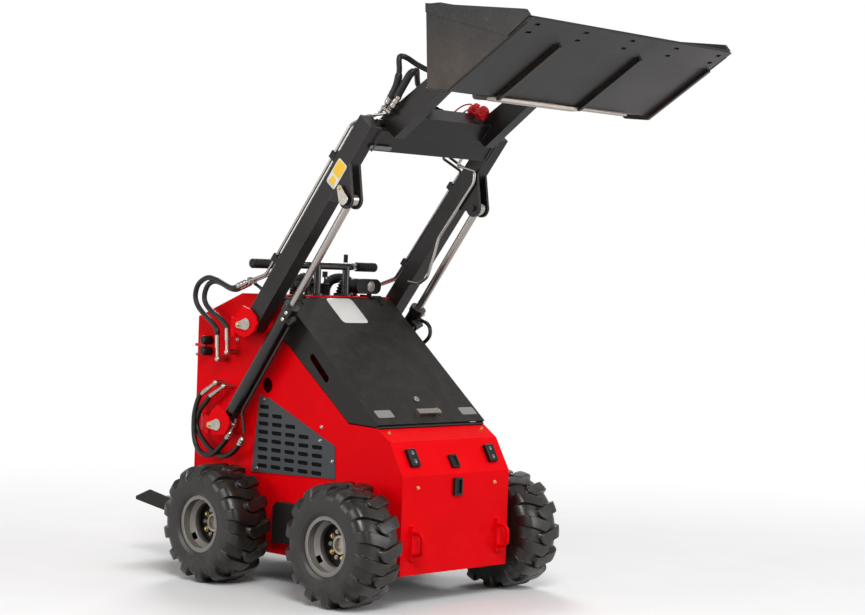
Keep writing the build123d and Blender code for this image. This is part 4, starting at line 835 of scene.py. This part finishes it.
PIPE_CORNERS = ((48, 108, 0), (86, 62, 0), (100, 41, 0), (560, 41, 0), (578, 26, 0))
for side, label in SIDES:
    barrel = "lift_barrel_" + label
    pipe = bent_pipe(on_barrel(PIPE_CORNERS, side), 6.5)
    add_piece("cylinder_pipe_" + label, pipe, "black_paint", barrel)
    ports = [turned_shape(NUT, *on_barrel(((572, 28, 0), (580, 46, 0)), side), sides=24, flats=6),
             turned_shape(PORT, *on_barrel(((560, 20, 0), (560, 60, 0)), side), sides=24, flats=4)]
    add_piece("cylinder_ports_" + label, joined(ports), "black_paint", barrel)
    studs = [turned_shape(STUD, *on_barrel(((along, 16, 24), (along, 20, 60)), side), sides=18, flats=6)
             for along in (560, 592)]
    add_piece("cylinder_bolts_" + label, joined(studs), "zinc", barrel)
print("pipes, ports and studs made on", len(SIDES), "cylinders")

# %% Sleeves at the right lift cylinder's foot, and the left one's elbow
LONG_HOSE_END = ((-424, -351, 556), (-391, -351, 609))
SHORT_HOSE_END = ((-348, -351, 536), (-321, -351, 580))
ELBOW = ((-45, 351, 1050), (-10, 345, 1042), (14, 342, 1022), (17, 340, 992), (-2, 338, 968),
         (-30, 335, 950))

ends = [turned_shape(SLEEVE, *LONG_HOSE_END),
        turned_shape(SLEEVE, *SHORT_HOSE_END),
        turned_shape(HOSE_NUT, *LONG_HOSE_END, sides=24, flats=6)]
add_piece("hose_ends_barrel", joined(ends), "zinc", "lift_barrel_right")
elbow_path = through(ELBOW, 8)
elbow_radii = np.concatenate(([6.0], np.full(len(elbow_path) - 2, 8.0), [6.0]))
elbow = in_metres(carried(elbow_path, elbow_radii, 14))
add_piece("cylinder_elbow_left", elbow, "black_paint", "lift_barrel_left")
print("sleeves and elbow made")

# %% [markdown]
# Steel lines run up both arms on blocks a little off their rear faces. Each is one bent
# tube. On the right arm they go over the arm's end to the elbow, and sleeves join them to
# the hoses at both ends. The loaded solids have plainer lines, which these replace.

# %% Steel lines on the right arm
LINE_RADIUS = 6.0
ARM_LINES = (
    # along the arm, across it to its front, and sideways, at each corner of a line
    ((112, -128, -346), (203, -64, -346), (934, -65, -346), (980, -58, -300), (1016, -32, -300),
     (1064, -18, -300)),
    ((116, -126, -368), (203, -64, -368), (934, -65, -368), (992, -54, -318), (1044, 5, -300),
     (1070, 8, -300)),
)
LINE_ENDS = (
    # the place where a sleeve starts, and a place towards which it points
    ((112, -128, -346), (50, -166, -346)),
    ((116, -126, -368), (54, -166, -369)),
    ((1060, -19, -300), (1118, -24, -300)),
    ((1066, 8, -300), (1124, 12, -300)),
)
LINE_SLEEVE = SLEEVE[::-1] * (-1.6, 0.95) + (67.2, 0)
LINE_NUT = NUT - (16, 0)
lines = [bent_pipe(on_arm(line), LINE_RADIUS, cut=18.0) for line in ARM_LINES]
lines += [turned_shape(LINE_SLEEVE, *on_arm(pair), sides=20) for pair in LINE_ENDS]
lines += [turned_shape(LINE_NUT, *on_arm(pair), sides=24, flats=6) for pair in LINE_ENDS]
made = add_piece("arm_lines_tubes", joined(lines), "chrome", "arms")
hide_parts("arm_lines_right")
print("right arm lines:", len(lines), "parts")

# %% Steel lines on the left arm
LEFT_LINES = (
    ((112, -128, 346), (203, -64, 346), (771, -60, 346), (823, -64, 205), (893, -50, 205)),
    ((116, -126, 368), (203, -64, 368), (781, -60, 368), (836, -60, 228), (893, -30, 228)),
    ((893, 20, 205), (850, 20, 205), (835, 24, 313), (796, 52, 313), (507, 45, 313), (443, 70, 313),
     (345, 102, 313), (293, 82, 313), (262, 30, 313)),
)
left_lines = [bent_pipe(on_arm(line), LINE_RADIUS, cut=14.0) for line in LEFT_LINES]
made = add_piece("arm_lines_left_tubes", joined(left_lines), "chrome", "arms")
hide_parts("arm_lines_left")
print("left arm lines:", len(left_lines))

# %% [markdown]
# Black plastic clamps hold the lines to the arms, and one bent rod props them at the foot
# of the right arm. A clamp is a box with bevelled edges, which is a sheet of four rings.

# %% Clamps and the rod that props the lines
CLAMPS_RIGHT = (287.0, 790.0)
CLAMPS_LEFT = (287.0, 690.0)
PROP = ((122, -36, -340), (122, -76, -340), (112, -116, -340))


def block(low, high, bevel=2.0):
    """Box with bevelled edges as four rings of points, from low to high, with flat ends."""
    low, high = np.asarray(low, float), np.asarray(high, float)
    inset = np.array((bevel, 0.0, 0.0, bevel))
    level = np.array((low[2], low[2] + bevel, high[2] - bevel, high[2]))
    x = np.stack((low[0] + inset, high[0] - inset, high[0] - inset, low[0] + inset), axis=-1)
    y = np.stack((low[1] + inset, low[1] + inset, high[1] - inset, high[1] - inset), axis=-1)
    points = np.stack((x, y, np.broadcast_to(level[:, None], x.shape)), axis=-1).reshape(-1, 3)
    middle = (low + high) / 2
    return with_ends(points, (middle[0], middle[1], low[2]), (middle[0], middle[1], high[2]), 4)


def arm_block(low, high):
    """Bevelled block in the arm's own directions: along, across to the front, sideways."""
    points, quads, fans = turned_over(block(low, high))
    return metres(on_arm(points)), quads, fans


clamps = [arm_block((along - 15, -76, -379), (along + 15, -38, -334)) for along in CLAMPS_RIGHT]
clamps += [arm_block((along - 15, -76, 334), (along + 15, -38, 379)) for along in CLAMPS_LEFT]
add_piece("line_clamps", joined(clamps), "black_plastic", "arms")
prop = bent_pipe(on_arm(PROP), 7.0, cut=12.0)
add_piece("line_support", prop, "black_paint", "arms")
print("clamps:", len(clamps))

# %% [markdown]
# On the bucket's heel lies a bar of hard steel, rubbed bare by the ground it slides on. It
# is two bevelled blocks end to end, the second a little thinner.

# %% Heel bar
HEEL_BLOCKS = (((908, -330, 1863), (944, 128, 1877.5)), ((914, 128, 1869), (941, 420, 1877.5)))
bars = [in_metres(block(low, high)) for low, high in HEEL_BLOCKS]
add_piece("heel_bar", joined(bars), "worn_steel", "bucket")
print("heel bar of", len(bars), "blocks")

# %% [markdown]
# On the console two ribbed rubber sleeves lead the levers' cables down through the deck,
# and the work lamp has a round glass. High on the right side plate, by its rear edge, sit
# two black switch knobs and a red lever.

# %% Cable sleeves, lamp glass, knobs and lever
CABLE_SLEEVES = (
    ((-360, 99, 1138), (-360, 104, 1176), (-360, 127, 1202), (-360, 169, 1213), (-360, 213, 1208),
     (-360, 242, 1186), (-360, 258, 1138)),
    ((-360, -77, 1138), (-360, -66, 1186), (-360, -24, 1211), (-360, 15, 1192), (-360, 34, 1138)),
)
GLASS = ((0.0, 4.0), (0.0, 23.2), (2.0, 22.8), (4.0, 17.0), (5.0, 9.0), (5.4, 2.0))
KNOB = ((0.0, 6.0), (0.0, 16.0), (2.0, 18.0), (34.0, 18.0), (40.0, 16.0), (44.0, 15.0), (47.0, 9.0))

sleeves = [ribbed(places, 19, 0.1, 10.0, 2.0, 18, (1.0, 0.1, 0.1)) for places in CABLE_SLEEVES]
add_piece("cable_sleeves", joined(sleeves), "black_plastic", "base", sharp=60.0)
glass = turned_shape(GLASS, (-209.8, 214, 1183), (-200, 214, 1183), sides=40)
add_piece("work_lamp_glass", glass, "lamp_glass", "base")
knobs = [turned_shape(KNOB, (-616, -293, z), (-616, -310, z), sides=32) for z in (942, 897)]
add_piece("switch_knobs", joined(knobs), "black_plastic", "base")
lever = in_metres(block((-704, -303, 914), (-640, -293, 926)))
add_piece("switch_lever", lever, "red_plastic", "base")
print("cable sleeves:", len(sleeves), "and knobs:", len(knobs))

# %% [markdown]
# Bolts hold the guards and covers. Each is a washer with a hexagon head on it, a turned
# shape with six flats, and a table gives their places and directions. The hood's round lock
# and the lamps' lenses are turned shapes without flats, set in the same way.

# %% Helpers for bolts and for places on the hood
BOLT = np.array(((0.0, 3.0), (0.0, 10.5), (1.4, 10.5), (1.6, 10.3), (1.6, 7.2), (6.2, 7.2), (7.2, 6.2),
                 (7.2, 2.0)))
SMALL_BOLT = BOLT * (1.0, 0.72)
SIDEWAYS = np.array((0.0, 1.0, 0.0))
RIGHT_OUT = (0.0, -1.0, 0.0)
LEFT_OUT = (0.0, 1.0, 0.0)
FRONT_OUT = (1.0, 0.0, 0.0)
NOSE_OUT = (0.552, 0.0, 0.834)
SLANT_OUT = np.array((0.858, 0.0, 0.513))
SLANT_DOWN = np.array((0.513, 0.0, -0.858))
HOOD_OUT = np.array((0.6391, 0.0, 0.7691))
HOOD_EDGE = np.array((-175.0, 0.0, 1134.0))


def on_hood(places):
    """Distance down the hood from its rear edge, and sideways, as drawing millimetres."""
    places = np.asarray(places, float)
    return HOOD_EDGE + places[..., :1] * HOOD_DOWN + places[..., 1:2] * SIDEWAYS


def bolts(name, profile, places, outward, finish, body, sides=18, flats=6):
    """One piece with a turned shape at every place, each pointing outward."""
    outward = np.asarray(outward, float)
    shapes = [turned_shape(profile, place, np.add(place, outward), sides, flats) for place in places]
    return add_piece(name, joined(shapes), finish, body)


print("a bolt's head is", 2 * BOLT[4, 1], "mm across, a small one", round(2 * SMALL_BOLT[4, 1], 1))

# %% Bolts of the body, the arms and the hood
PLATE = 293.5
GUARD_FACE = PLATE + 4
LOCK_FACE = 402
LINK_FACE = 395
LOCK_BOLT = BOLT * (1.0, 0.9)
GUARD_BOLTS = ((-266, 724), (141, 514), (-300, 446), (68, 588))
PLATE_BOLTS = ((70, 640), (-446, 953), (-699, 880))
LOCK_BOLTS = ((-322, 1017), (-480, 608))
LINK_BOLTS = ((230, 1554),)
SIDE_BOLTS = (
    # name, profile, places along and up, how far out they sit, which way, finish, body
    ("bolts_grille_right", SMALL_BOLT, GUARD_BOLTS, GUARD_FACE, RIGHT_OUT, "zinc", "base"),
    ("bolts_grille_left", SMALL_BOLT, GUARD_BOLTS, GUARD_FACE, LEFT_OUT, "zinc", "base"),
    ("bolts_side_right", SMALL_BOLT, PLATE_BOLTS, PLATE, RIGHT_OUT, "zinc", "base"),
    ("bolts_side_left", SMALL_BOLT, PLATE_BOLTS, PLATE, LEFT_OUT, "zinc", "base"),
    ("bolts_lock_plates", LOCK_BOLT, LOCK_BOLTS, LOCK_FACE, RIGHT_OUT, "brass", "base"),
    ("bolts_lock_left", LOCK_BOLT, LOCK_BOLTS, LOCK_FACE, LEFT_OUT, "brass", "base"),
    ("bolts_arm_links", SMALL_BOLT, LINK_BOLTS, LINK_FACE, RIGHT_OUT, "brass", "arms"),
    ("bolts_arm_links_left", SMALL_BOLT, LINK_BOLTS, LINK_FACE, LEFT_OUT, "brass", "arms"),
)
bolts("bolts_front", SMALL_BOLT, ((518, -212, 446), (518, 212, 446)), FRONT_OUT, "brass", "base")
bolts("bolts_nose", SMALL_BOLT, ((399, -256, 642.4), (399, 256, 642.4)), NOSE_OUT, "brass", "base")
for name, profile, spots, face, way, finish, body in SIDE_BOLTS:
    bolts(name, profile, [(x, face * way[1], z) for x, z in spots], way, finish, body)
hinge_bolts = on_hood([(down, across) for down in (16, 36) for across in (-220, 220)])
bolts("bolts_hinges", SMALL_BOLT, hinge_bolts, HOOD_OUT, "black_plastic", "hood")
print("rows of bolts:", len(SIDE_BOLTS) + 3)

# %% Round lock and pull ring on the hood, lenses in the front lamps
LOCK = np.array(((0.0, 4.0), (0.0, 13.0), (2.0, 13.5), (4.0, 12.0), (4.5, 9.0), (3.0, 8.0), (3.0, 2.0)))
LENS = np.array(((-0.5, 3.0), (-0.2, 10.6), (1.0, 10.4), (2.6, 8.0), (3.6, 4.6), (4.0, 1.2)))
LAMP_MIDDLE = 17.0 * SLANT_OUT + (481.5, 0.0, 551.0)

bolts("hood_lock", LOCK, on_hood([(592, 6)]), HOOD_OUT, "zinc", "hood", sides=28, flats=0)
bend = np.linspace(0, 2 * np.pi, 30)
loop = np.stack((667 + 13 * np.cos(bend), 64 + 15 * np.sin(bend)), axis=-1)
ring = in_metres(carried(on_hood(loop) + 6 * HOOD_OUT, 3.0, 10, HOOD_OUT))
add_piece("hood_ring", ring, "zinc", "hood")
lenses = [LAMP_MIDDLE + y * SIDEWAYS + along * SLANT_DOWN for y in (-215.0, 215.0) for along in (-17.5, 17.5)]
bolts("lamp_lenses", LENS, lenses, SLANT_OUT, "lens", "base", sides=28, flats=0)
print("lock, ring and", len(lenses), "lenses made")

# %% [markdown]
# Thin films and labels are stuck on the steel: a blank name plate on the hood, a blank
# white and yellow label on the arm, grey ones on the beam and low on the hood. A film is a
# rounded rectangle, u(a) and v(a) following a superellipse, and less than a millimetre
# thick, so it hides nothing of the shape below it.

# %% Films and labels
def film(centre, along, across, half_along, half_across, thick=0.7, power=9.0, sides=48):
    """Rounded rectangle: |u/a|^p + |v/b|^p = 1, given a thickness along the cross product.

    It starts 0.3 mm below the steel's face, so that no gap shows under it."""
    along, across = unit(along), unit(across)
    outward = np.cross(along, across)
    angle = np.linspace(0, 2 * np.pi, sides, endpoint=False)
    c, s = np.cos(angle), np.sin(angle)
    u = half_along * np.sign(c) * np.abs(c) ** (2 / power)
    v = half_across * np.sign(s) * np.abs(s) ** (2 / power)
    ring = u[:, None] * along + v[:, None] * across
    levels = np.array((-0.3, thick * 0.7, thick))[:, None, None]
    shrink = np.array((1.0, 1.0, 0.994))[:, None, None]
    points = (np.asarray(centre, float) + ring[None] * shrink + outward * levels).reshape(-1, 3)
    return in_metres(with_ends(points, centre - 0.3 * outward, centre + thick * outward, sides))


UP_ARM = np.array((0.6211, 0.0, 0.7837))
OVER_ARM = np.array((-0.7837, 0.0, 0.6211))
FILMS = (
    # name, centre, two directions along it, half sizes, finish, body
    ("plate_hood", on_hood((77, -4)), HOOD_DOWN, SIDEWAYS, (74, 71), "white_film", "hood"),
    ("label_hood_right", on_hood((666, -222)), HOOD_DOWN, SIDEWAYS, (20, 44), "grey_film", "hood"),
    ("label_hood_left", on_hood((666, 238)), HOOD_DOWN, SIDEWAYS, (20, 42), "grey_film", "hood"),
    ("label_arm", on_arm((755, 7, -381)), UP_ARM, OVER_ARM, (56, 29), "white_film", "arms"),
    ("label_arm_field", on_arm((778, 7, -381.5)), UP_ARM, OVER_ARM, (30, 25), "yellow_film", "arms"),
    ("label_arm_mark", on_arm((724, 7, -381.5)), UP_ARM, OVER_ARM, (15, 15), "yellow_film", "arms"),
    ("label_beam", on_arm((915, 46, -281)), SIDEWAYS, UP_ARM, (56, 9), "grey_film", "arms"),
)
for name, centre, along, across, halves, finish, body in FILMS:
    add_piece(name, film(centre, along, across, *halves), finish, body)
print("films and labels:", len(FILMS))

# %% [markdown]
# Behind each guard of slots lies a fine black screen that keeps chaff out of the engine
# space. It's one thin sheet of the guard's outline, a little smaller all round. A rubber
# seal lies along the hood's front edge: a bar that is carried across and stretched to an
# oval section.

# %% Screens behind the guards, and the hood's rubber seal
SCREEN = np.array(((-290, 730), (-234, 722), (142, 567), (148, 453), (-322, 438)), float)
SCREEN_FACES = (293.6, 295.2)
SEAL_MIDDLE = np.array((373.0, 0.0, 661.0))
SEAL_STRETCH = (1.5, 1.0, 1.0)

for side, label in SIDES:
    rings = np.stack([np.insert(SCREEN, 1, side * face, axis=1) for face in SCREEN_FACES])
    ends = rings.mean(axis=1)
    screen = in_metres(with_ends(rings.reshape(-1, 3), ends[0], ends[1], len(SCREEN)))
    if side > 0:
        screen = turned_over(screen)
    add_piece("screen_" + label, screen, "screen_mesh", "base")

seal_path = SEAL_MIDDLE + np.linspace(-289, 289, 60)[:, None] * SIDEWAYS
seal_radii = np.concatenate(([5.0], np.full(58, 6.6), [5.0]))
points, quads, fans = carried(seal_path, seal_radii, 16, (0.0, 0.0, 1.0))
points = (points - SEAL_MIDDLE) * SEAL_STRETCH + SEAL_MIDDLE
add_piece("hood_seal", in_metres((points, quads, fans)), "hose_rubber", "hood")
print("screens and seal made")

# %% [markdown]
# Welds join the bucket's and arms' plates: a bead of overlapping drops, so its radius
# swells and shrinks along the seam, r(s) = r0 (1 + 0.22 |sin(pi s / 5 mm)|).

# %% Weld beads
WELDS = (
    # name, body, radius, corners of the seam
    ("weld_bucket_right", "bucket", 4.0,
     ((836, -562, 1890), (872, -562, 1882), (938, -562, 1877), (1288, -562, 2091))),
    ("weld_bucket_left", "bucket", 4.0,
     ((836, 562, 1890), (872, 562, 1882), (938, 562, 1877), (1288, 562, 2091))),
    ("weld_beam_right", "arms", 3.0, (on_arm((897, 45.5, -319)), on_arm((983, 45.5, -319)))),
    ("weld_beam_left", "arms", 3.0, (on_arm((897, 45.5, 319)), on_arm((983, 45.5, 319)))),
    ("weld_ring_right", "base", 3.0, ((519, -248, 178), (519, -248, 302))),
    ("weld_ring_left", "base", 3.0, ((519, 248, 178), (519, 248, 302))),
)
# a bead is painted as the plates it joins: finish and slot for each body
WELD_PAINT = {"bucket": ("bucket_paint", "charcoal_paint"), "arms": ("arm_paint", "charcoal_paint"),
              "base": ("red_paint", "red_paint")}


def weld_shape(corners, radius):
    """Bead along straight seams through corners, its radius swelling every 5 mm."""
    path, along = evenly(corners, 1.25)
    radii = radius * (1 + 0.22 * np.abs(np.sin(np.pi * along / 5.0)))
    return in_metres(carried(path, radii, 8, (0.31, 0.9, 0.3)))


for name, body, radius, corners in WELDS:
    finish, slot = WELD_PAINT[body]
    add_piece(name, weld_shape(corners, radius), finish, body)
print("weld beads:", len(WELDS))

# %% [markdown]
# The rider holds two rubber grips with rings moulded round them, pushed over the ends of
# the handlebar. A grip is a turned shape whose radius is 18.6 + 1.1 cos(2 pi s / 9 mm), and
# it points outward from the place where it starts on the bar. The loaded bar's box is
# printed beside the grips' places, to check one against the other.

# %% Grips
RINGS = np.linspace(0, 100, 61)
GRIP = np.vstack(((0.0, 12.0), np.stack((RINGS, 18.6 + 1.1 * np.cos(RINGS * 2 * np.pi / 9.0)), axis=-1),
                  (104.0, 19.5), (108.0, 17.0), (110.0, 10.0)))
GRIP_START = np.array((-320.0, 233.0, 1262.0))

for side, label in SIDES:
    start = GRIP_START * (1.0, side, 1.0)
    grip = turned_shape(GRIP, start, start + (0, side, 0), sides=24)
    add_piece("grip_" + label, grip, "black_plastic", "base", sharp=60.0)
bar_low, bar_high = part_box("handlebar")
print("handlebar from", np.round(bar_low, 3), "to", np.round(bar_high, 3))
print("grips from", metres(GRIP_START * (1, -1, 1)).round(3), "and", metres(GRIP_START).round(3), "outward")

# %% [markdown]
# Two quick couplers for a powered attachment sit inside the left front member, in a small
# holder. Red dust caps close them, and each cap hangs on a loop of red cord.

# %% Quick couplers with red caps
COUPLER = ((0.0, 9.0), (0.0, 15.0), (2.0, 16.0), (18.0, 16.0), (20.0, 14.0), (24.0, 14.0), (26.0, 17.5),
           (42.0, 17.5), (44.0, 15.0), (58.0, 15.0), (60.0, 12.0))
CAP = ((0.0, 17.0), (0.0, 25.0), (2.0, 27.0), (20.0, 27.0), (22.0, 24.0), (34.0, 23.0), (42.0, 17.0),
       (44.0, 6.0))
COUPLER_STARTS = np.array(((322.0, 196.0, 1846.0), (366.0, 190.0, 1834.0)))
COUPLER_WAY = unit((0.66, -0.1, 0.62))
HOLDER = ((300, 172, 1818), (386, 226, 1842))


def cord(start):
    """Loop of cord from a cap's top, behind its coupler and back to the coupler's foot."""
    loop = through((start + 66 * COUPLER_WAY + (0, 0, 22), start + 40 * COUPLER_WAY + (-36, -4, 40),
                    start + (-60, -8, 44), start + (-106, -10, 6), start + (-92, -10, -34),
                    start + (-44, -8, -46), start + (-6, -4, -12)), 12)
    return in_metres(carried(loop, 3.2, 8, (0.1, 1.0, 0.2)))


couplers = [turned_shape(COUPLER, start, start + COUPLER_WAY, sides=24) for start in COUPLER_STARTS]
caps = [turned_shape(CAP, start + 46 * COUPLER_WAY, start + 60 * COUPLER_WAY, sides=28)
        for start in COUPLER_STARTS]
cords = [cord(start) for start in COUPLER_STARTS]
add_piece("couplers", joined(couplers), "zinc", "arms")
add_piece("coupler_caps", joined(caps), "red_plastic", "arms")
add_piece("coupler_cords", joined(cords), "red_plastic", "arms")
add_piece("coupler_holder", in_metres(block(*HOLDER, 3.0)), "arm_paint", "arms")
print("couplers:", len(couplers))

# %% [markdown]
# Each wheel is held by five plated nuts on a circle in its deep dish. They turn with their
# wheel. The loaded rim's box gives the axle and the outer face that the depth counts from.

# %% Wheel nuts
WHEEL_NUT = ((0.0, 6.0), (0.0, 11.5), (1.5, 12.5), (10.0, 12.5), (12.0, 11.0), (12.0, 7.2), (19.0, 7.0),
             (20.0, 5.0))
NUT_COUNT = 5
NUT_CIRCLE = 50.0
DISH_DEPTH = 84.0

turn = np.arange(NUT_COUNT) * 2 * np.pi / NUT_COUNT
for wheel in [name[5:] for name in nodes if name.startswith("tyre_")]:
    side = -1.0 if wheel.endswith("right") else 1.0
    low, high = (np.array(corner) * 1000 - DRAWING_SHIFT * 1000 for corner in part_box("rim_" + wheel))
    centre = (low + high) / 2
    face = (high[1] if side > 0 else low[1]) - side * DISH_DEPTH
    places = np.stack((centre[0] + NUT_CIRCLE * np.cos(turn), np.full(NUT_COUNT, face),
                       centre[2] - NUT_CIRCLE * np.sin(turn)), axis=-1)
    nuts = [turned_shape(WHEEL_NUT, place, place + (0, side, 0), sides=24, flats=6) for place in places]
    add_piece("nuts_" + wheel, joined(nuts), "brass", "wheel_" + wheel)
print("wheel nuts made:", NUT_COUNT, "on each wheel")

# %% [markdown]
# The stage is a plain pale floor that fades into an equally pale surround, so no horizon
# cuts through the picture. The floor keeps the machine's shadow. To light that bounces off
# it, it looks darker, so that it doesn't wash out the sheet steel from below. One strong
# broad lamp in front gives a clear direction, two weak ones fill the sides, and one from
# behind draws the edges.

# %% Floor
BACKGROUND = (1.0, 1.0, 1.0, 1.0)
FLOOR_SIDES = 96
FLOOR_RINGS = np.array((0.0, 2.0, 6.0, 14.0, 60.0))[:, None]

angle = np.linspace(0, 2 * np.pi, FLOOR_SIDES, endpoint=False)
corners = np.stack((FLOOR_RINGS * np.cos(angle), FLOOR_RINGS * np.sin(angle), FLOOR_RINGS * 0 * angle),
                   axis=-1).reshape(-1, 3)
quads = lattice(len(FLOOR_RINGS), FLOOR_SIDES, wrap_columns=True)[:, ::-1]
floor_mesh = bpy.data.meshes.new("floor")
floor_mesh.from_pydata(corners.tolist(), [], quads.tolist())
floor = bpy.data.objects.new("floor", floor_mesh)
bpy.context.scene.collection.objects.link(floor)
floor_paint = bpy.data.materials.new("floor_paint")
floor_paint.use_nodes = True
tree = floor_paint.node_tree
shader = tree.nodes["Principled BSDF"]
place = step(tree, "TexCoord")
distance = step(tree, "VectorMath", {0: place.outputs["Object"]}, operation="LENGTH")
fade = step(tree, "MapRange", {"Value": distance.outputs["Value"], "From Min": 1.6, "From Max": 5.0},
            interpolation_type="SMOOTHSTEP")
speck = step(tree, "TexNoise", {"Vector": place.outputs["Object"], "Scale": 3.0, "Detail": 6.0})
tree.links.new(mix_colour(tree, speck.outputs["Fac"], (0.8, 0.8, 0.8, 1), (0.86, 0.86, 0.86, 1)),
               shader.inputs["Base Color"])
shader.inputs["Roughness"].default_value = 0.7
glow = step(tree, "Emission", {"Color": BACKGROUND, "Strength": 1.0})
blend = step(tree, "MixShader", {0: fade.outputs[0], 1: shader.outputs[0], 2: glow.outputs[0]})
dim = step(tree, "BsdfDiffuse", {"Color": (0.22, 0.22, 0.22, 1.0)})
ray = step(tree, "LightPath")
bounced = step(tree, "MixShader", {0: ray.outputs["Is Diffuse Ray"], 1: blend.outputs[0],
                                   2: dim.outputs[0]})
tree.links.new(bounced.outputs[0], tree.nodes["Material Output"].inputs["Surface"])
floor_mesh.materials.append(floor_paint)
print("floor of", len(quads), "faces")

# %% Surround
world = bpy.data.worlds.new("surround")
bpy.context.scene.world = world
world.use_nodes = True
tree = world.node_tree
ray = step(tree, "LightPath")
seen = step(tree, "Math", {0: ray.outputs["Is Glossy Ray"], 1: 0.35}, operation="MULTIPLY")
either = step(tree, "Math", {0: ray.outputs["Is Camera Ray"], 1: seen.outputs[0]}, operation="MAXIMUM")
strength = step(tree, "MapRange", {"Value": either.outputs[0], "To Min": 0.42, "To Max": 1.0})
tree.links.new(strength.outputs[0], tree.nodes["Background"].inputs["Strength"])
tree.nodes["Background"].inputs["Color"].default_value = BACKGROUND
print("surround made:", world.name)

# %% Lamps
LIT_PLACE = Vector((0.1, 0.0, 0.9))
LAMPS = (
    # name, place, power in watts, side of its square in metres
    ("key", (5.0, -4.0, 6.0), 420.0, 3.0),
    ("front_fill", (6.0, 3.5, 2.5), 150.0, 3.0),
    ("side_fill", (-2.5, -6.0, 2.2), 110.0, 3.0),
    ("back", (-4.5, 4.0, 5.0), 200.0, 2.5),
)
for name, place, power, side in LAMPS:
    data = bpy.data.lights.new(name, "AREA")
    data.energy = power
    data.size = side
    lamp = bpy.data.objects.new(name, data)
    lamp.location = place
    aim = LIT_PLACE - Vector(place)
    lamp.rotation_mode = "QUATERNION"
    lamp.rotation_quaternion = aim.to_track_quat("-Z", "Y")
    bpy.context.scene.collection.objects.link(lamp)
print("lamps:", len(LAMPS))
